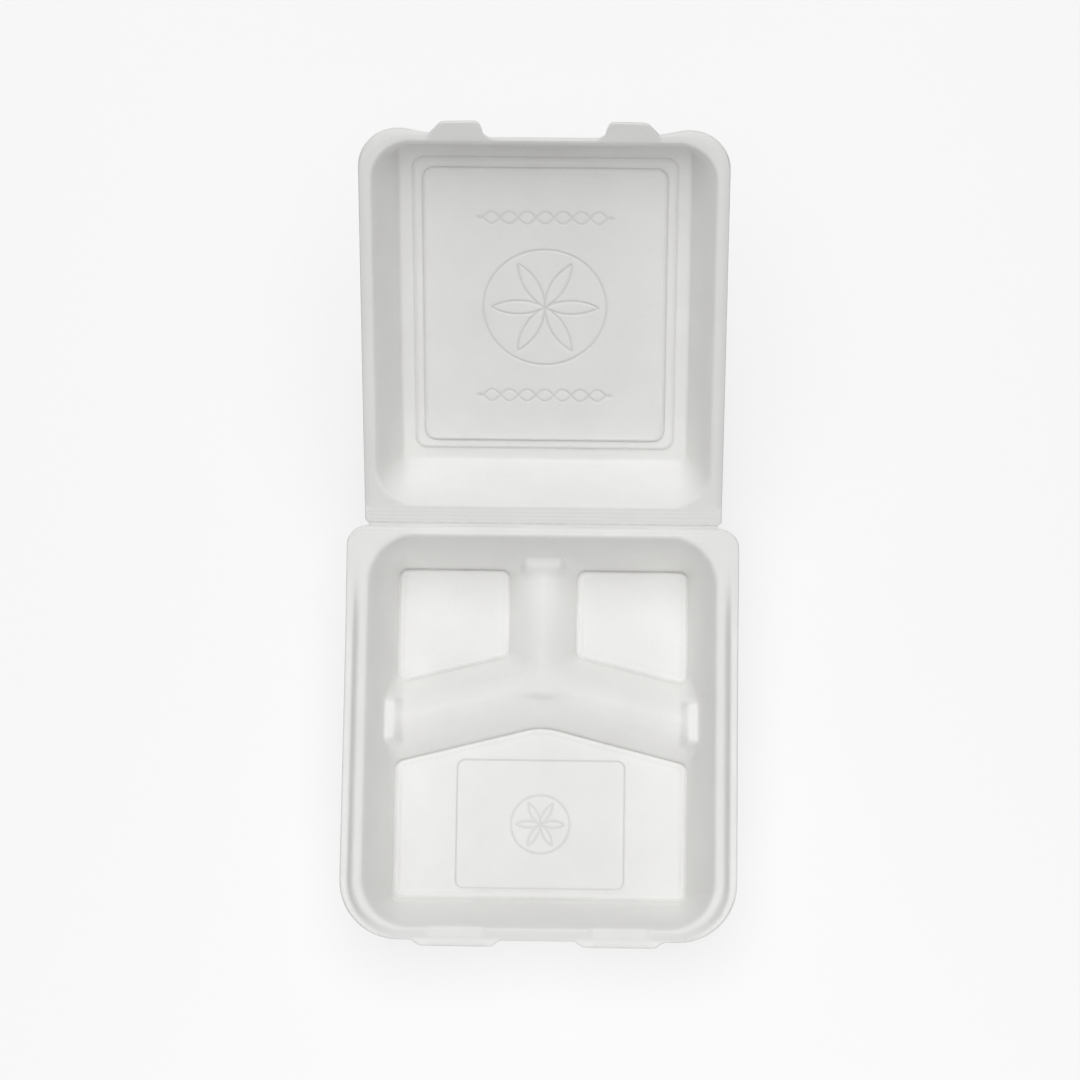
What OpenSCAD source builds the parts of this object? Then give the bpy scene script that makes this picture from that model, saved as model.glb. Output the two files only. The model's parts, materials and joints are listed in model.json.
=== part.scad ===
// Foam hinged-lid food container, open: a three-compartment tray and a lid moulded from one sheet.
// Millimetres. X runs along the crease, +Y points from the tray's front to the crease, Z is up.
// The origin is on the table, midway between the sides, under the back corner of the front compartment.

/* [Sheet] */
// Thickness of the foam sheet
sheet = 2.2; // [1.6:0.1:3.2]
// Gap kept between the two rims when the lid is shut
shut_gap = 0.4; // [0.3:0.1:1]
// How far the lid is raised from lying flat open
lid_raise = 35.5; // [0:0.5:80]

/* [Tray rim] */
// Width over the outer lips
tray_w = 200; // [180:1:240]
// Crease to the front lip
tray_l = 211; // [190:1:240]
// Crease to the inner edge of the back rim
rim_back = 6; // [4:0.5:10]
// Front lip to the inner edge of the front rim
rim_front = 6.5; // [5.5:0.5:10]
// Outer lip to the inner edge of a side rim
rim_side = 11.5; // [10:0.5:16]
// Width of the flat top of the rim
bead_w = 4.8; // [3:0.2:6.6]
// Height that the skirt falls from the rim to the lip
skirt_drop = 5; // [2:0.5:8]
// Width of the flat lip below the side skirts
lip_w = 3.8; // [1:0.2:4.2]
// Width of the flat lip below the front skirt
lip_front_w = 1; // [0.6:0.2:1.4]
// Radius of the lip's front corners
lip_front_r = 30; // [20:1:40]
// Radius of the lip's back corners
lip_back_r = 10; // [6:1:16]
// Radius of the rim's inner corners
rim_in_r = 24; // [16:1:32]

/* [Tray compartments] */
// Rim to compartment floor
tray_depth = 41; // [30:1:60]
// Radius of the floor's corners
floor_r = 4.5; // [3:0.5:8]
// Slope run of the side walls
run_side = 13.5; // [9:0.5:18]
// Slope run of the back wall
run_back = 10; // [8:0.5:18]
// Slope run of the front wall
run_front = 17; // [8:0.5:20]
// Height of the dividers above the floor
divider_h = 15; // [8:1:24]
// Half width of the middle divider at the floor
spine_half = 17.5; // [12:0.5:24]
// Half width of the slanted dividers at the floor
arm_half = 19.5; // [12:0.5:24]
// Crease to the point where the three dividers meet
fork_y = 77.5; // [65:0.5:100]
// Slant of the two front dividers
arm_slant = 14.3; // [5:0.1:25]
// Half width of the flat along the top of a divider
crest_half = 1.5; // [1:0.1:3]
// Depth of the gutter round each floor
gutter = 1; // [0.4:0.1:1.5]
// Height of the stacking ledges above the dividers
ledge_h = 2.4; // [1:0.1:5]
// How far a stacking ledge stands out from its wall
ledge_out = 7.5; // [5.5:0.5:10]
// How much of that the ledge's sloped face takes
ledge_lean = 4.6; // [2:0.2:5]
// Length of the side ledges along the wall
ledge_side = 20; // [14:1:30]
// Length of the back ledge along the wall
ledge_back = 18; // [12:1:26]
// How far the ends of a ledge lean out on their way down
ledge_end = 3; // [1:0.5:4]
// Width of the sunk panel in the front floor
panel_w = 86; // [60:1:110]
// Depth of the sunk panel from front to back
panel_l = 66; // [40:1:75]
// How far the panel is sunk
panel_sink = 0.5; // [0.2:0.1:0.8]

/* [Closure] */
// Distance of each tab and lug from the middle
tab_x = 41; // [25:1:55]
// Width of a tab at its root
tab_root = 30; // [22:1:36]
// Width of a tab at its tip
tab_tip = 20; // [12:1:26]
// Reach of a tab beyond the lid's wall
tab_reach = 12.5; // [8:0.5:18]
// Bend of a tab towards the tray
tab_bend = 18; // [0:1:20]
// Width of a lug at its outer edge
lug_w = 36; // [30:1:44]
// How far a lug stands out in front of the lip
lug_out = 3; // [1:0.5:6]
// Width of the notch in the rim at its floor
notch_w = 25; // [22:1:30]
// How far each side of the notch leans out on its way up
notch_lean = 4; // [2:0.5:6]

/* [Lid] */
// Width over the lid's rim
lid_w = 182; // [160:1:220]
// Width of the lid's side rims
lid_rim = 6.5; // [4:0.5:9]
// Crease to the inner edge of the lid's back rim
lid_back = 10.5; // [7:0.5:14]
// Crease to the inner edge of the lid's front rim
lid_front = 204.5; // [180:0.5:230]
// Width of the front rim at the corners
lid_front_rim = 6.5; // [4:0.5:9]
// Rim to panel
lid_depth = 32; // [20:1:45]
// Slope run of the lid's walls
lid_run = 12; // [8:0.5:16]
// Radius of the rim's inner corners
lid_in_r = 22; // [14:1:30]
// Radius of the rim's outer front corners
lid_out_r = 20; // [12:1:30]
// Radius of the panel's corners
lid_panel_r = 5; // [3:0.5:9]
// Inset of the outer frame step from the foot of the wall
step_one = 7.2; // [4:0.2:12]
// Inset of the inner frame step from the foot of the wall
step_two = 12.2; // [9:0.2:18]
// Rise of each frame step
step_rise = 1.6; // [0.6:0.1:2.5]
// Half of the length without a rim between the tabs
thumb_half = 27; // [15:1:40]

/* [Crease] */
// Half width of the crushed web
web_half = 0.8; // [0.5:0.1:1.5]
// Thickness of the crushed web
web_t = 0.6; // [0.4:0.1:1]
// Spacing of the score lines beside the crease
score_pitch = 1.7; // [1.2:0.1:2.2]
// Width of a score line
score_w = 0.6; // [0.4:0.1:1]
// Depth of a score line
score_d = 0.5; // [0.2:0.1:0.8]

/* [Hidden] */
$fn = 32;
corner_steps = 8;
half_gap = shut_gap / 2;
foam = [0.93, 0.93, 0.92];
crushed = [0.86, 0.86, 0.85];
crease_z = tray_depth + half_gap + gutter + sheet;
rim_z = -half_gap;
floor_z = rim_z - tray_depth;
crest_z = floor_z + divider_h;
// Inner edge of the rim, and the foot of the walls
in_x = tray_w / 2 - rim_side;
in_back = -rim_back;
in_front = -(tray_l - rim_front);
foot_x = in_x - run_side;
foot_back = in_back - run_back;
foot_front = in_front + run_front;
// Where the slanted dividers' edges cross the middle and the side walls
slope = tan(arm_slant);
edge_shift = arm_half / cos(arm_slant);
// The crease, seen from the origin
crease_y = fork_y + edge_shift;
lug_foot = lug_w + 9;
// Step where a compartment's wall runs into the upper wall
shelf = 0.15;

// Plain geometry of rings and skins

// Outward normal of the edge from a to b of an anticlockwise outline
function outward(a, b) = [b[1] - a[1], a[0] - b[0]] / norm(b - a);

// Corner b of the edges a-b and b-c after they are pushed out by p and q
function pushed(a, b, c, p, q) =
    let (m = outward(a, b), n = outward(b, c), k = m[0] * n[1] - m[1] * n[0])
    let (s = m * b + p, t = n * b + q)
    [(s * n[1] - t * m[1]) / k, (t * m[0] - s * n[0]) / k];

// Points of the corner at b rounded to radius r, climbing from height z1 to z2
function rounded(a, b, c, r, z1, z2) =
    let (u = (a - b) / norm(a - b), v = (c - b) / norm(c - b), turn = acos(u * v))
    let (o = b + (u + v) / norm(u + v) * r / sin(turn / 2), p = b + u * r / tan(turn / 2) - o)
    let (start = atan2(p[1], p[0]), sweep = 180 - turn)
    [for (k = [0 : corner_steps])
        let (f = k / corner_steps, g = start + sweep * f)
        [o[0] + r * cos(g), o[1] + r * sin(g), z1 + (z2 - z1) * f]];

// A closed ring: edge i of the outline is pushed out by push[i] at height rise[i], corner i has radius[i]
function ring(outline, push, rise, radius) =
    let (n = len(outline))
    let (c = [for (i = [0 : n - 1])
        pushed(outline[(i + n - 1) % n], outline[i], outline[(i + 1) % n], push[(i + n - 1) % n], push[i])])
    [for (i = [0 : n - 1])
        each rounded(c[(i + n - 1) % n], c[i], c[(i + 1) % n], radius[i], rise[(i + n - 1) % n], rise[i])];

// A profile of [push, height] points moved by d to its right-hand side
function right_of(profile, d) =
    let (n = len(profile))
    [for (i = [0 : n - 1])
        let (v = profile[min(i + 1, n - 1)] - profile[max(i - 1, 0)], w = v / norm(v))
        profile[i] + d * [w[1], -w[0]]];

// Rings stacked into a closed solid with a flat cap at each end
module skin(rings) {
    n = len(rings[0]);
    m = len(rings);
    sides = [for (j = [0 : m - 2], i = [0 : n - 1])
        let (a = j * n + i, b = j * n + (i + 1) % n)
        each [[a, a + n, b + n], [a, b + n, b]]];
    first = [for (i = [0 : n - 1]) i];
    last = [for (i = [n - 1 : -1 : 0]) (m - 1) * n + i];
    polyhedron([for (r = rings) each r], concat([first], sides, [last]));
}

function smooth(f) = let (g = min(max(f, 0), 1)) g * g * (3 - 2 * g);

// Tray

// The floor's edge and its gutter, on the inside, and the flat foot under them on the outside
inner_foot = [[-2.4, 0], [-1.8, 0], [-1.2, -0.25 * gutter], [-0.8, -0.75 * gutter],
    [-0.4, -gutter], [0.3, -gutter]];
outer_foot = [[-2.9, -sheet], [-2.3, -sheet], [-2, -sheet - 0.25 * gutter], [-1.7, -sheet - 0.75 * gutter],
    [-1.2, -sheet - gutter], [1.6, -sheet - gutter]];

// The wall from the gutter to the top of a divider: outward distance and height above the floor
// It ends just inside the upper wall, so that the two cut each other cleanly
function wall_foot(run, thick) =
    let (g = run / tray_depth, h = divider_h, in = thick == 0 ? shelf : 0)
    let (inner = concat(inner_foot, [[0.9, -0.5 * gutter], [1.3 + 0.6 * g, 0.06 * h],
        [1.2 + 0.16 * h * g, 0.16 * h], [0.8 + 0.32 * h * g, 0.32 * h], [0.4 + 0.55 * h * g, 0.55 * h],
        [0.2 + 0.78 * h * g, 0.78 * h], [h * g - in, h], [h * g - 15 * in, h + 1]]))
    thick == 0 ? inner : concat(outer_foot, [for (i = [6 : 11]) right_of(inner, thick)[i]],
        [[h * g + thick * 0.95, h - thick * 0.8], [h * g + thick * 0.3, h - thick * 0.35]]);

// A divider's face from the gutter to its flat top, where half is its half width at the floor
function divider_face(half, thick) =
    let (top = half - crest_half, h = divider_h)
    let (inner = concat(inner_foot, [[0.9, -0.5 * gutter], [0.1 * top, 0.08 * h], [0.21 * top, 0.3 * h],
        [0.35 * top, 0.57 * h], [0.52 * top, 0.81 * h], [0.73 * top, 0.95 * h], [top, h], [top, h + 1]]))
    thick == 0 ? inner : concat(outer_foot, [for (i = [6 : 11]) right_of(inner, thick)[i]],
        [[top, h - thick * 0.9], [top + 0.3, h - thick * 0.5]]);

// Radius of a compartment's corner at height h above the floor
function corner_r(h, top_r) = floor_r + max(h, 0) / tray_depth * (top_r - floor_r);

// One compartment as a solid: thick is 0 for its inside and the sheet's thickness for its outside
// kinds names each edge's face, and crossing is true at a corner where a divider starts
module compartment(outline, kinds, crossing, thick) {
    faces = [for (k = kinds)
        k == "spine" ? divider_face(spine_half, thick)
        : k == "arm" ? divider_face(arm_half, thick)
        : k == "back" ? wall_foot(run_back, thick)
        : k == "front" ? wall_foot(run_front, thick)
        : wall_foot(run_side, thick)];
    skin([for (j = [0 : len(faces[0]) - 1])
        let (h = faces[0][j][1] + (thick == 0 ? 0 : thick))
        ring(outline,
            [for (f = faces) f[j][0]],
            [for (f = faces) floor_z + f[j][1]],
            [for (x = crossing) (x ? floor_r + max(h, 0) * 0.35 : corner_r(h, rim_in_r)) + thick * 0.6])]);
}

front_outline = [[-foot_x, foot_front], [foot_x, foot_front],
    [foot_x, -fork_y - edge_shift - foot_x * slope], [0, -fork_y - edge_shift],
    [-foot_x, -fork_y - edge_shift - foot_x * slope]];
left_outline = [[-foot_x, -fork_y + edge_shift - foot_x * slope],
    [-spine_half, -fork_y + edge_shift - spine_half * slope],
    [-spine_half, foot_back], [-foot_x, foot_back]];

// All three compartments, inside or outside
module compartments(thick) {
    front_kinds = ["front", "side", "arm", "arm", "side"];
    compartment(front_outline, front_kinds, [false, false, true, true, true], thick);
    for (s = [0, 1])
        mirror([s, 0, 0])
            compartment(left_outline, ["arm", "spine", "back", "side"], [true, true, true, false], thick);
}

// The rim, its skirt and the upper walls down to the top of the dividers, as one skin
// Each profile point is a push from the rim's inner edge, a height, and its share of the skirt's drop
function skirt_fade(y) = smooth((in_back - 12 - y) / 45);

// Thickness of a sloped wall along the ground, a shelf more than the compartments below it
function wall_t(run) = sheet * norm([1, run / tray_depth]) + shelf;

module upper_shell() {
    outline = [[-in_x, in_front], [in_x, in_front], [in_x, in_back], [-in_x, in_back]];
    fall = tray_depth - divider_h;
    low = fall + sheet;
    lip = rim_side;
    under = sheet;
    skirt_in = lip - lip_w;
    bend = (skirt_in - bead_w) / 4;
    side = [[wall_t(run_side) - run_side * low / tray_depth, -low, 0],
        [wall_t(run_side) - run_side * 4 / tray_depth, -4, 0],
        [sheet + 0.4, -under, 0], [bead_w - 1.2, -under, 0], [skirt_in - 1.6, -under, 1],
        [lip - 0.3, -under, 1], [lip, -under * 0.5, 1], [lip - 0.3, 0, 1], [skirt_in, 0, 1],
        [skirt_in - bend, 0, 0.8], [bead_w + bend, 0, 0.2], [bead_w - 0.4, 0, 0], [1.4, 0, 0],
        [0.4, -0.3, 0], [-0.2, -1.2, 0], [-run_side * 4 / tray_depth, -4, 0],
        [-run_side * fall / tray_depth, -fall, 0]];
    lip_f = rim_front;
    front = [[wall_t(run_front) - run_front * low / tray_depth, -low, 0],
        [wall_t(run_front) - run_front * 4 / tray_depth, -4, 0],
        [sheet - 0.4, -under - 0.5, 0], [bead_w * 0.5 + 0.3, -under, 0],
        [lip_f - lip_front_w - 1.4, -under, 1], [lip_f - 0.3, -under, 1], [lip_f, -under * 0.5, 1],
        [lip_f - 0.3, 0, 1], [lip_f - lip_front_w, 0, 1], [lip_f - lip_front_w - 0.6, 0, 0.8],
        [bead_w * 0.5 + 0.9, 0, 0.2], [bead_w * 0.5, 0, 0], [1.2, 0, 0],
        [0.4, -0.3, 0], [-0.2, -1.2, 0], [-run_front * 4 / tray_depth, -4, 0],
        [-run_front * fall / tray_depth, -fall, 0]];
    edge = rim_back - web_half;
    back = [[wall_t(run_back) - run_back * low / tray_depth, -low, 0],
        [wall_t(run_back) - run_back * 4 / tray_depth, -4, 0],
        [sheet + 0.2, -under, 0], [sheet + 0.6, -under, 0], [edge - 0.8, -under, 0], [edge - 0.4, -under, 0],
        [edge, -under, 0], [edge, 0, 0], [edge - 0.3, 0, 0], [edge - 0.6, 0, 0], [edge - 0.9, 0, 0],
        [edge - 1.2, 0, 0], [1.4, 0, 0], [0.4, -0.3, 0], [-0.2, -1.2, 0], [-run_back * 4 / tray_depth, -4, 0],
        [-run_back * fall / tray_depth, -fall, 0]];
    wall_r = corner_r(divider_h, rim_in_r);
    low_r = corner_r(divider_h - sheet, rim_in_r) + sheet * 0.6;
    front_r = [low_r, rim_in_r, rim_in_r, rim_in_r + 1, lip_front_r - 1, lip_front_r, lip_front_r,
        lip_front_r, lip_front_r - 1, lip_front_r - 2, rim_in_r + 2, rim_in_r + 1, rim_in_r, rim_in_r,
        rim_in_r, corner_r(tray_depth - 4, rim_in_r), wall_r];
    back_r = [low_r, rim_in_r, rim_in_r, rim_in_r - 4, lip_back_r, lip_back_r, lip_back_r, lip_back_r,
        lip_back_r, lip_back_r + 1, 18, 19, rim_in_r, rim_in_r, rim_in_r,
        corner_r(tray_depth - 4, rim_in_r), wall_r];
    drops = [for (p = side) p[2] * skirt_drop];
    skin([for (j = [0 : len(side) - 1])
        [for (p = ring(outline,
                [front[j][0], side[j][0], back[j][0], side[j][0]],
                [front[j][1], side[j][1], back[j][1], side[j][1]],
                [front_r[j], front_r[j], back_r[j], back_r[j]]))
            [p[0], p[1], rim_z + p[2] - drops[j] * skirt_fade(p[1])]]]);
}

// A lug in front of the lip, level with it
module lug() {
    z = rim_z - skirt_drop - sheet + shelf;
    hull() {
        for (s = [-1, 1]) {
            translate([s * (lug_w / 2 - 1.5), -(tray_l + lug_out - 1.5), z])
                cylinder(r = 1.5, h = sheet - 2 * shelf);
            translate([s * (lug_foot / 2 - 0.5), -tray_l + 0.8, z])
                cylinder(r = 0.5, h = sheet - 2 * shelf);
        }
    }
}

// The notch where a tab crosses the front rim, grown by thick for the sheet that lines it
module notch(thick) {
    fall = skirt_drop + thick - 3 * shelf;
    near = thick == 0 ? tray_l + 20 : tray_l - lip_front_w - 0.6;
    far = thick == 0 ? tray_l - rim_front - 8 : tray_l - rim_front + sheet / 2;
    far_low = thick == 0 ? far : far - run_front * fall / tray_depth;
    half = notch_w / 2 + thick;
    hull() {
        for (s = [-1, 1]) {
            translate([s * (half - 1) - 0.5, -near, rim_z - fall]) cube([1, near - far_low, 0.01]);
            translate([s * (half + notch_lean - 1) - 0.5, -near, rim_z + (thick == 0 ? 0.6 : -0.5)])
                cube([1, near - far, 0.01]);
        }
    }
}

// A stacking ledge on a divider's end, in two halves that lean on the divider's faces
// The wall has the given run and lies on y = 0 at the rim, and half is the divider's half width at the floor
module ledge(length, run, half) {
    grade = run / tray_depth;
    top = crest_z + ledge_h - 0.4;
    end = length / 2 + ledge_end;
    end_z = floor_z + divider_h * smooth((half - end) / (half - crest_half)) - 0.8;
    wall_top = (top - rim_z) * grade;
    wall_low = (crest_z - rim_z) * grade;
    wall_end = (end_z - rim_z) * grade;
    for (s = [-1, 1])
        hull() {
            for (x = [0, s * (length / 2 - 1)], y = [0.8, ledge_lean - ledge_out])
                translate([x, wall_top + y, top]) cube(0.8, center = true);
            for (y = [0.8, -ledge_out])
                translate([0, wall_low + y, crest_z - 1.4]) cube(0.8, center = true);
            for (y = [0.8, -1.6])
                translate([s * end, wall_end + y, end_z]) cube(0.8, center = true);
        }
}

// A score line across the sheet at the distance y from the crease
module score(y, width) {
    translate([-width / 2 - 1, y - score_w / 2, rim_z - score_d]) cube([width + 2, score_w, score_d + 1]);
}

// The sunk panel in the front floor
module floor_panel() {
    middle = (foot_front - fork_y - edge_shift) / 2 - 6;
    hull() {
        for (x = [-1, 1], y = [-1, 1])
            translate([x * (panel_w / 2 - 3), middle + y * (panel_l / 2 - 3), floor_z - panel_sink])
                cylinder(r = 3, h = panel_sink + 1);
    }
}

module tray() {
    color(foam)
        translate([0, crease_y, crease_z])
            union() {
                difference() {
                    union() {
                        upper_shell();
                        compartments(sheet);
                        for (s = [-1, 1])
                            translate([s * tab_x, 0, 0]) {
                                lug();
                                notch(sheet);
                            }
                    }
                    compartments(0);
                    for (s = [-1, 1])
                        translate([s * tab_x, 0, 0]) notch(0);
                    floor_panel();
                    for (i = [1, 2])
                        score(-i * score_pitch - 0.4, lid_w);
                }
                translate([0, in_back, 0]) ledge(ledge_back, run_back, spine_half);
                for (s = [-1, 1])
                    translate([s * in_x, -fork_y - foot_x * slope - 0.5, 0])
                        rotate([0, 0, -s * 90]) ledge(ledge_side, run_side, arm_half);
            }
}

// Lid, drawn lying flat open beyond the crease and then raised

// The edge of a rim of width w, from its underside round to its top, turned down a little
function rounded_edge(w) =
    [[sheet + 0.3, -sheet], [w - 2.6, -sheet], [w - 0.4, -sheet - 0.7], [w, -sheet * 0.5 - 0.7],
    [w - 0.4, -0.8], [w - 2.2, -0.2], [w - 2.8, 0]];

// One skin from the outside of the panel, round the rim and back to the inside of the panel
module lid_shell() {
    in_half = lid_w / 2 - lid_rim;
    outline = [[-in_half, lid_back], [in_half, lid_back], [in_half, lid_front], [-in_half, lid_front]];
    grade = lid_run / lid_depth;
    foot = -lid_run;
    inner = [[0.9, 0], [0.3, -0.3], [-0.3, -1.2], [-4 * grade, -4], [foot + 4 * grade, 4 - lid_depth],
        [foot + 0.9, 1.4 - lid_depth], [foot + 0.1, 0.3 - lid_depth], [foot - 0.9, -lid_depth],
        [foot - step_one + 0.7, -lid_depth], [foot - step_one, 0.4 * step_rise - lid_depth],
        [foot - step_one - 0.7, step_rise - lid_depth], [foot - step_two + 0.7, step_rise - lid_depth],
        [foot - step_two, 1.5 * step_rise - lid_depth], [foot - step_two - 0.7, 2 * step_rise - lid_depth],
        [foot - step_two - 4, 2 * step_rise - lid_depth]];
    n = len(inner);
    outer = [for (i = [n - 1 : -1 : 2]) right_of(inner, -sheet)[i]];
    rim_side_edge = rounded_edge(lid_rim);
    rim_front_edge = rounded_edge(lid_front_rim);
    edge = lid_back - web_half;
    rim_back_edge = [[sheet + 0.3, -sheet], [edge - 1, -sheet], [edge - 0.5, -sheet], [edge, -sheet],
        [edge, 0], [edge - 0.5, 0], [edge - 1, 0]];
    side = concat(outer, rim_side_edge, inner);
    front = concat(outer, rim_front_edge, inner);
    back = concat(outer, rim_back_edge, inner);
    panel_r = [for (p = inner)
        let (climb = max(p[1] + lid_depth - 2 * step_rise, 0))
        lid_panel_r + climb / lid_depth * (lid_in_r - lid_panel_r)];
    outer_r = [for (i = [n - 1 : -1 : 2]) panel_r[i] + sheet * 0.6];
    rim_r = [lid_in_r, lid_out_r + 2, lid_out_r, lid_out_r, lid_out_r, lid_out_r, lid_out_r + 1];
    front_r = concat(outer_r, rim_r, panel_r);
    back_r = concat(outer_r, [lid_in_r, 2.4, 1.6, 1.2, 1.2, 1.6, 2], panel_r);
    skin([for (j = [0 : len(side) - 1])
        [for (p = ring(outline,
                [back[j][0], side[j][0], front[j][0], side[j][0]],
                [back[j][1], side[j][1], front[j][1], side[j][1]],
                [back_r[j], back_r[j], front_r[j], front_r[j]]))
            [p[0], p[1], rim_z + p[2]]]]);
}

// A closing tab, bent towards the tray, with a flared root and a rounded tip
module tab() {
    translate([0, lid_front + 0.4, rim_z - sheet / 2])
        rotate([tab_bend, 0, 0]) {
            hull() {
                for (s = [-1, 1]) {
                    translate([s * (tab_tip / 2 - 3.5), tab_reach - 3.9, -sheet / 2])
                        cylinder(r = 3.5, h = sheet);
                    translate([s * (tab_tip / 2 + 1), 1, -sheet / 2]) cylinder(r = 1, h = sheet);
                }
            }
            hull() {
                for (s = [-1, 1]) {
                    translate([s * (tab_root / 2 - 1), 1, -sheet / 2]) cylinder(r = 1, h = sheet);
                    translate([s * (tab_tip / 2), 4, -sheet / 2]) cylinder(r = 1.2, h = sheet);
                }
            }
        }
}

// The gap in the front rim between and beside the tabs
module thumb_gap() {
    low = rim_z - sheet - 3;
    hull() {
        for (s = [-1, 1]) {
            translate([s * (thumb_half - 1), lid_front + sheet + 0.5, low]) cylinder(r = 0.4, h = 6);
            translate([s * (thumb_half + 2), lid_front + lid_front_rim + 4, low]) cylinder(r = 0.4, h = 6);
        }
    }
}

// Lets the tabs swing clear of the front rim that they grow from
module tab_relief() {
    low = rim_z - sheet - 3;
    hull() {
        for (s = [-1, 1]) {
            translate([s * (tab_root / 2), lid_front + sheet + 0.9, low]) cylinder(r = 0.4, h = 6);
            translate([s * (tab_root / 2 + 2), lid_front + lid_front_rim + 4, low]) cylinder(r = 0.4, h = 6);
        }
    }
}

module lid() {
    color(foam)
        translate([0, crease_y, crease_z])
            rotate([lid_raise, 0, 0])
                union() {
                    difference() {
                        lid_shell();
                        thumb_gap();
                        for (s = [-1, 1])
                            translate([s * tab_x, 0, 0]) tab_relief();
                        for (i = [1 : 3])
                            score(i * score_pitch + 0.4, lid_w);
                    }
                    for (s = [-1, 1])
                        translate([s * tab_x, 0, 0]) tab();
                }
}

// The crushed web in the crease, bent to the lid's angle
module hinge_web() {
    c = cos(lid_raise);
    s = sin(lid_raise);
    w = web_half;
    t = web_t;
    z = rim_z;
    fold = t * tan(lid_raise / 2);
    color(crushed)
        translate([0, crease_y, crease_z])
            rotate([90, 0, 90])
                linear_extrude(height = lid_w - 4, center = true)
                    polygon([[-w, z], [-w, z - t], [-z * tan(lid_raise / 2) + fold, z - t],
                        [w * c - (z - t) * s, w * s + (z - t) * c], [w * c - z * s, w * s + z * c],
                        [-z * tan(lid_raise / 2), z]]);
}

tray();
lid();
hinge_web();
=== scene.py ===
"""Dresses the foam hinged-lid container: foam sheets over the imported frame, a studio and the camera."""
import json
import logging
import math
from abc import ABC, abstractmethod
from collections.abc import Callable, Sequence
from dataclasses import dataclass
from enum import Enum

import bpy
import numpy as np
from mathutils import Matrix, Vector
from mathutils.geometry import delaunay_2d_cdt


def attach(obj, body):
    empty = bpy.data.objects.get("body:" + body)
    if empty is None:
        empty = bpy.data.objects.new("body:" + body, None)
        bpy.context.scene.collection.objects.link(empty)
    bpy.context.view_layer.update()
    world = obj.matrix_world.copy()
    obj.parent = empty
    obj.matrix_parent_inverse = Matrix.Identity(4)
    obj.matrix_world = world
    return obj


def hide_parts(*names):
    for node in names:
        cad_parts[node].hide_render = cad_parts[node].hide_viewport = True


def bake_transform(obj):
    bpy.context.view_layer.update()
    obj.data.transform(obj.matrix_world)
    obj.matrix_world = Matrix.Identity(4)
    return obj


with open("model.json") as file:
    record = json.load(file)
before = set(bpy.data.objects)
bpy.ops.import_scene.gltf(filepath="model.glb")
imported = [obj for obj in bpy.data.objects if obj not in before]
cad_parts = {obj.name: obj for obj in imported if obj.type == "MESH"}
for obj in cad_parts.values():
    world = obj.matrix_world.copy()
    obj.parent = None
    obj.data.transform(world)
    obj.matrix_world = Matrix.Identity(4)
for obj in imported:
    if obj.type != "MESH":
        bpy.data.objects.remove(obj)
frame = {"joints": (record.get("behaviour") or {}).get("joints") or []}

LOG = logging.getLogger("scene")
MM = 0.001
# Name of the point attribute that holds painted shade: how far grooves and lines are darkened where shade
# falls
PAINTED_SHADE_ATTRIBUTE = "painted_shade"

# Sizes that the tray, the lid and the web share, in millimetres and degrees
SHEET = 2.2
RIM_Z = -0.2
WEB_HALF = 0.8
TAB_X = 41.0
RAISED_DEG = 35.5

# A sheet's rounded edge: its radius, its radius at the web, and the insets of the rows of points along it
EDGE_R = 0.9
WEB_EDGE_R = 0.08
UPPER_INSETS = (0.0, 0.08, 0.28, 0.58, 1.0)
LOWER_INSETS = (0.0, 0.12, 0.45, 1.0)

# Points of a sheet, in millimetres: the rows along the rim, and how far points keep from edges
ROW_STEP = 0.8
EDGE_ROW = 1.15
EDGE_CLEAR = 1.05
WEB_CLEAR = 1.7
GRID_CLEAR = 0.35

# The lower side of a sheet: its blur, and how much coarser its points are
LOWER_BLUR = 0.4
LOWER_COARSE = 1.7
LOWER_EVERY = 2

# Limits in the sums and in the meshing
FAR = 99.0
TINY = 1e-9
WELD = 1e-6
LEAST_AREA = 1e-7
INSIDE_ONLY = 1

Array = np.ndarray
Surface = Callable[[Array, Array], Array]
Span = tuple[float, float]
Colour = tuple[float, float, float]
Place = tuple[float, float, float]
Reach = tuple[float, float, float]
Patch = tuple[float, float, float, float, float, float]
Value = float | tuple[float, ...] | bpy.types.NodeSocket
Inputs = dict[str | int, Value]


class Slot(Enum):
    """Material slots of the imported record."""

    SKIN = "foam_skin"
    CRUSHED = "foam_crushed"


class Body(Enum):
    """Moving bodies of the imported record."""

    TRAY = "tray"
    LID = "lid"


class Face(Enum):
    """Kinds of face round a compartment."""

    FRONT = "front"
    SIDE = "side"
    BACK = "back"
    ARM = "arm"
    SPINE = "spine"


def smooth(f: Array | float) -> Array:
    """The cubic step from 0 to 1, held outside that range."""
    g = np.clip(f, 0.0, 1.0)
    return g * g * (3.0 - 2.0 * g)


def bell(distance: Array, half: float) -> Array:
    """A rounded ridge of height 1 that is half as high at about the given half width."""
    return np.exp(-0.7 * (distance / half) ** 2)


def spaced(start: float, spans: Sequence[Span], coarse: float) -> Array:
    """Coordinates from start on, with the step that each span up to its end asks for.

    Args:
        start: The first coordinate.
        spans: Pairs of a span's end and its finest step.
        coarse: How many times wider than the finest the steps are.

    Returns:
        The coordinates in rising order.
    """
    parts = []
    at = start
    for end, step in spans:
        count = max(round((end - at) / (step * coarse)), 1)
        parts.append(np.linspace(at, end, count, endpoint=False))
        at = end
    return np.concatenate(parts + [np.array([at])])


def mirrored_grid(across: Sequence[Span], start: float, along: Sequence[Span],
                  coarse: float) -> Sequence[Array]:
    """A grid of points whose left half mirrors its right half.

    Args:
        across: Ends and steps of the spans from the middle to the right.
        start: Where the spans along the sheet begin.
        along: Ends and steps of those spans.
        coarse: How many times wider than the finest the steps are.

    Returns:
        The points' first and second coordinates.
    """
    half = spaced(0.0, across, coarse)
    return np.meshgrid(np.concatenate([-half[:0:-1], half]), spaced(start, along, coarse))


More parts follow.
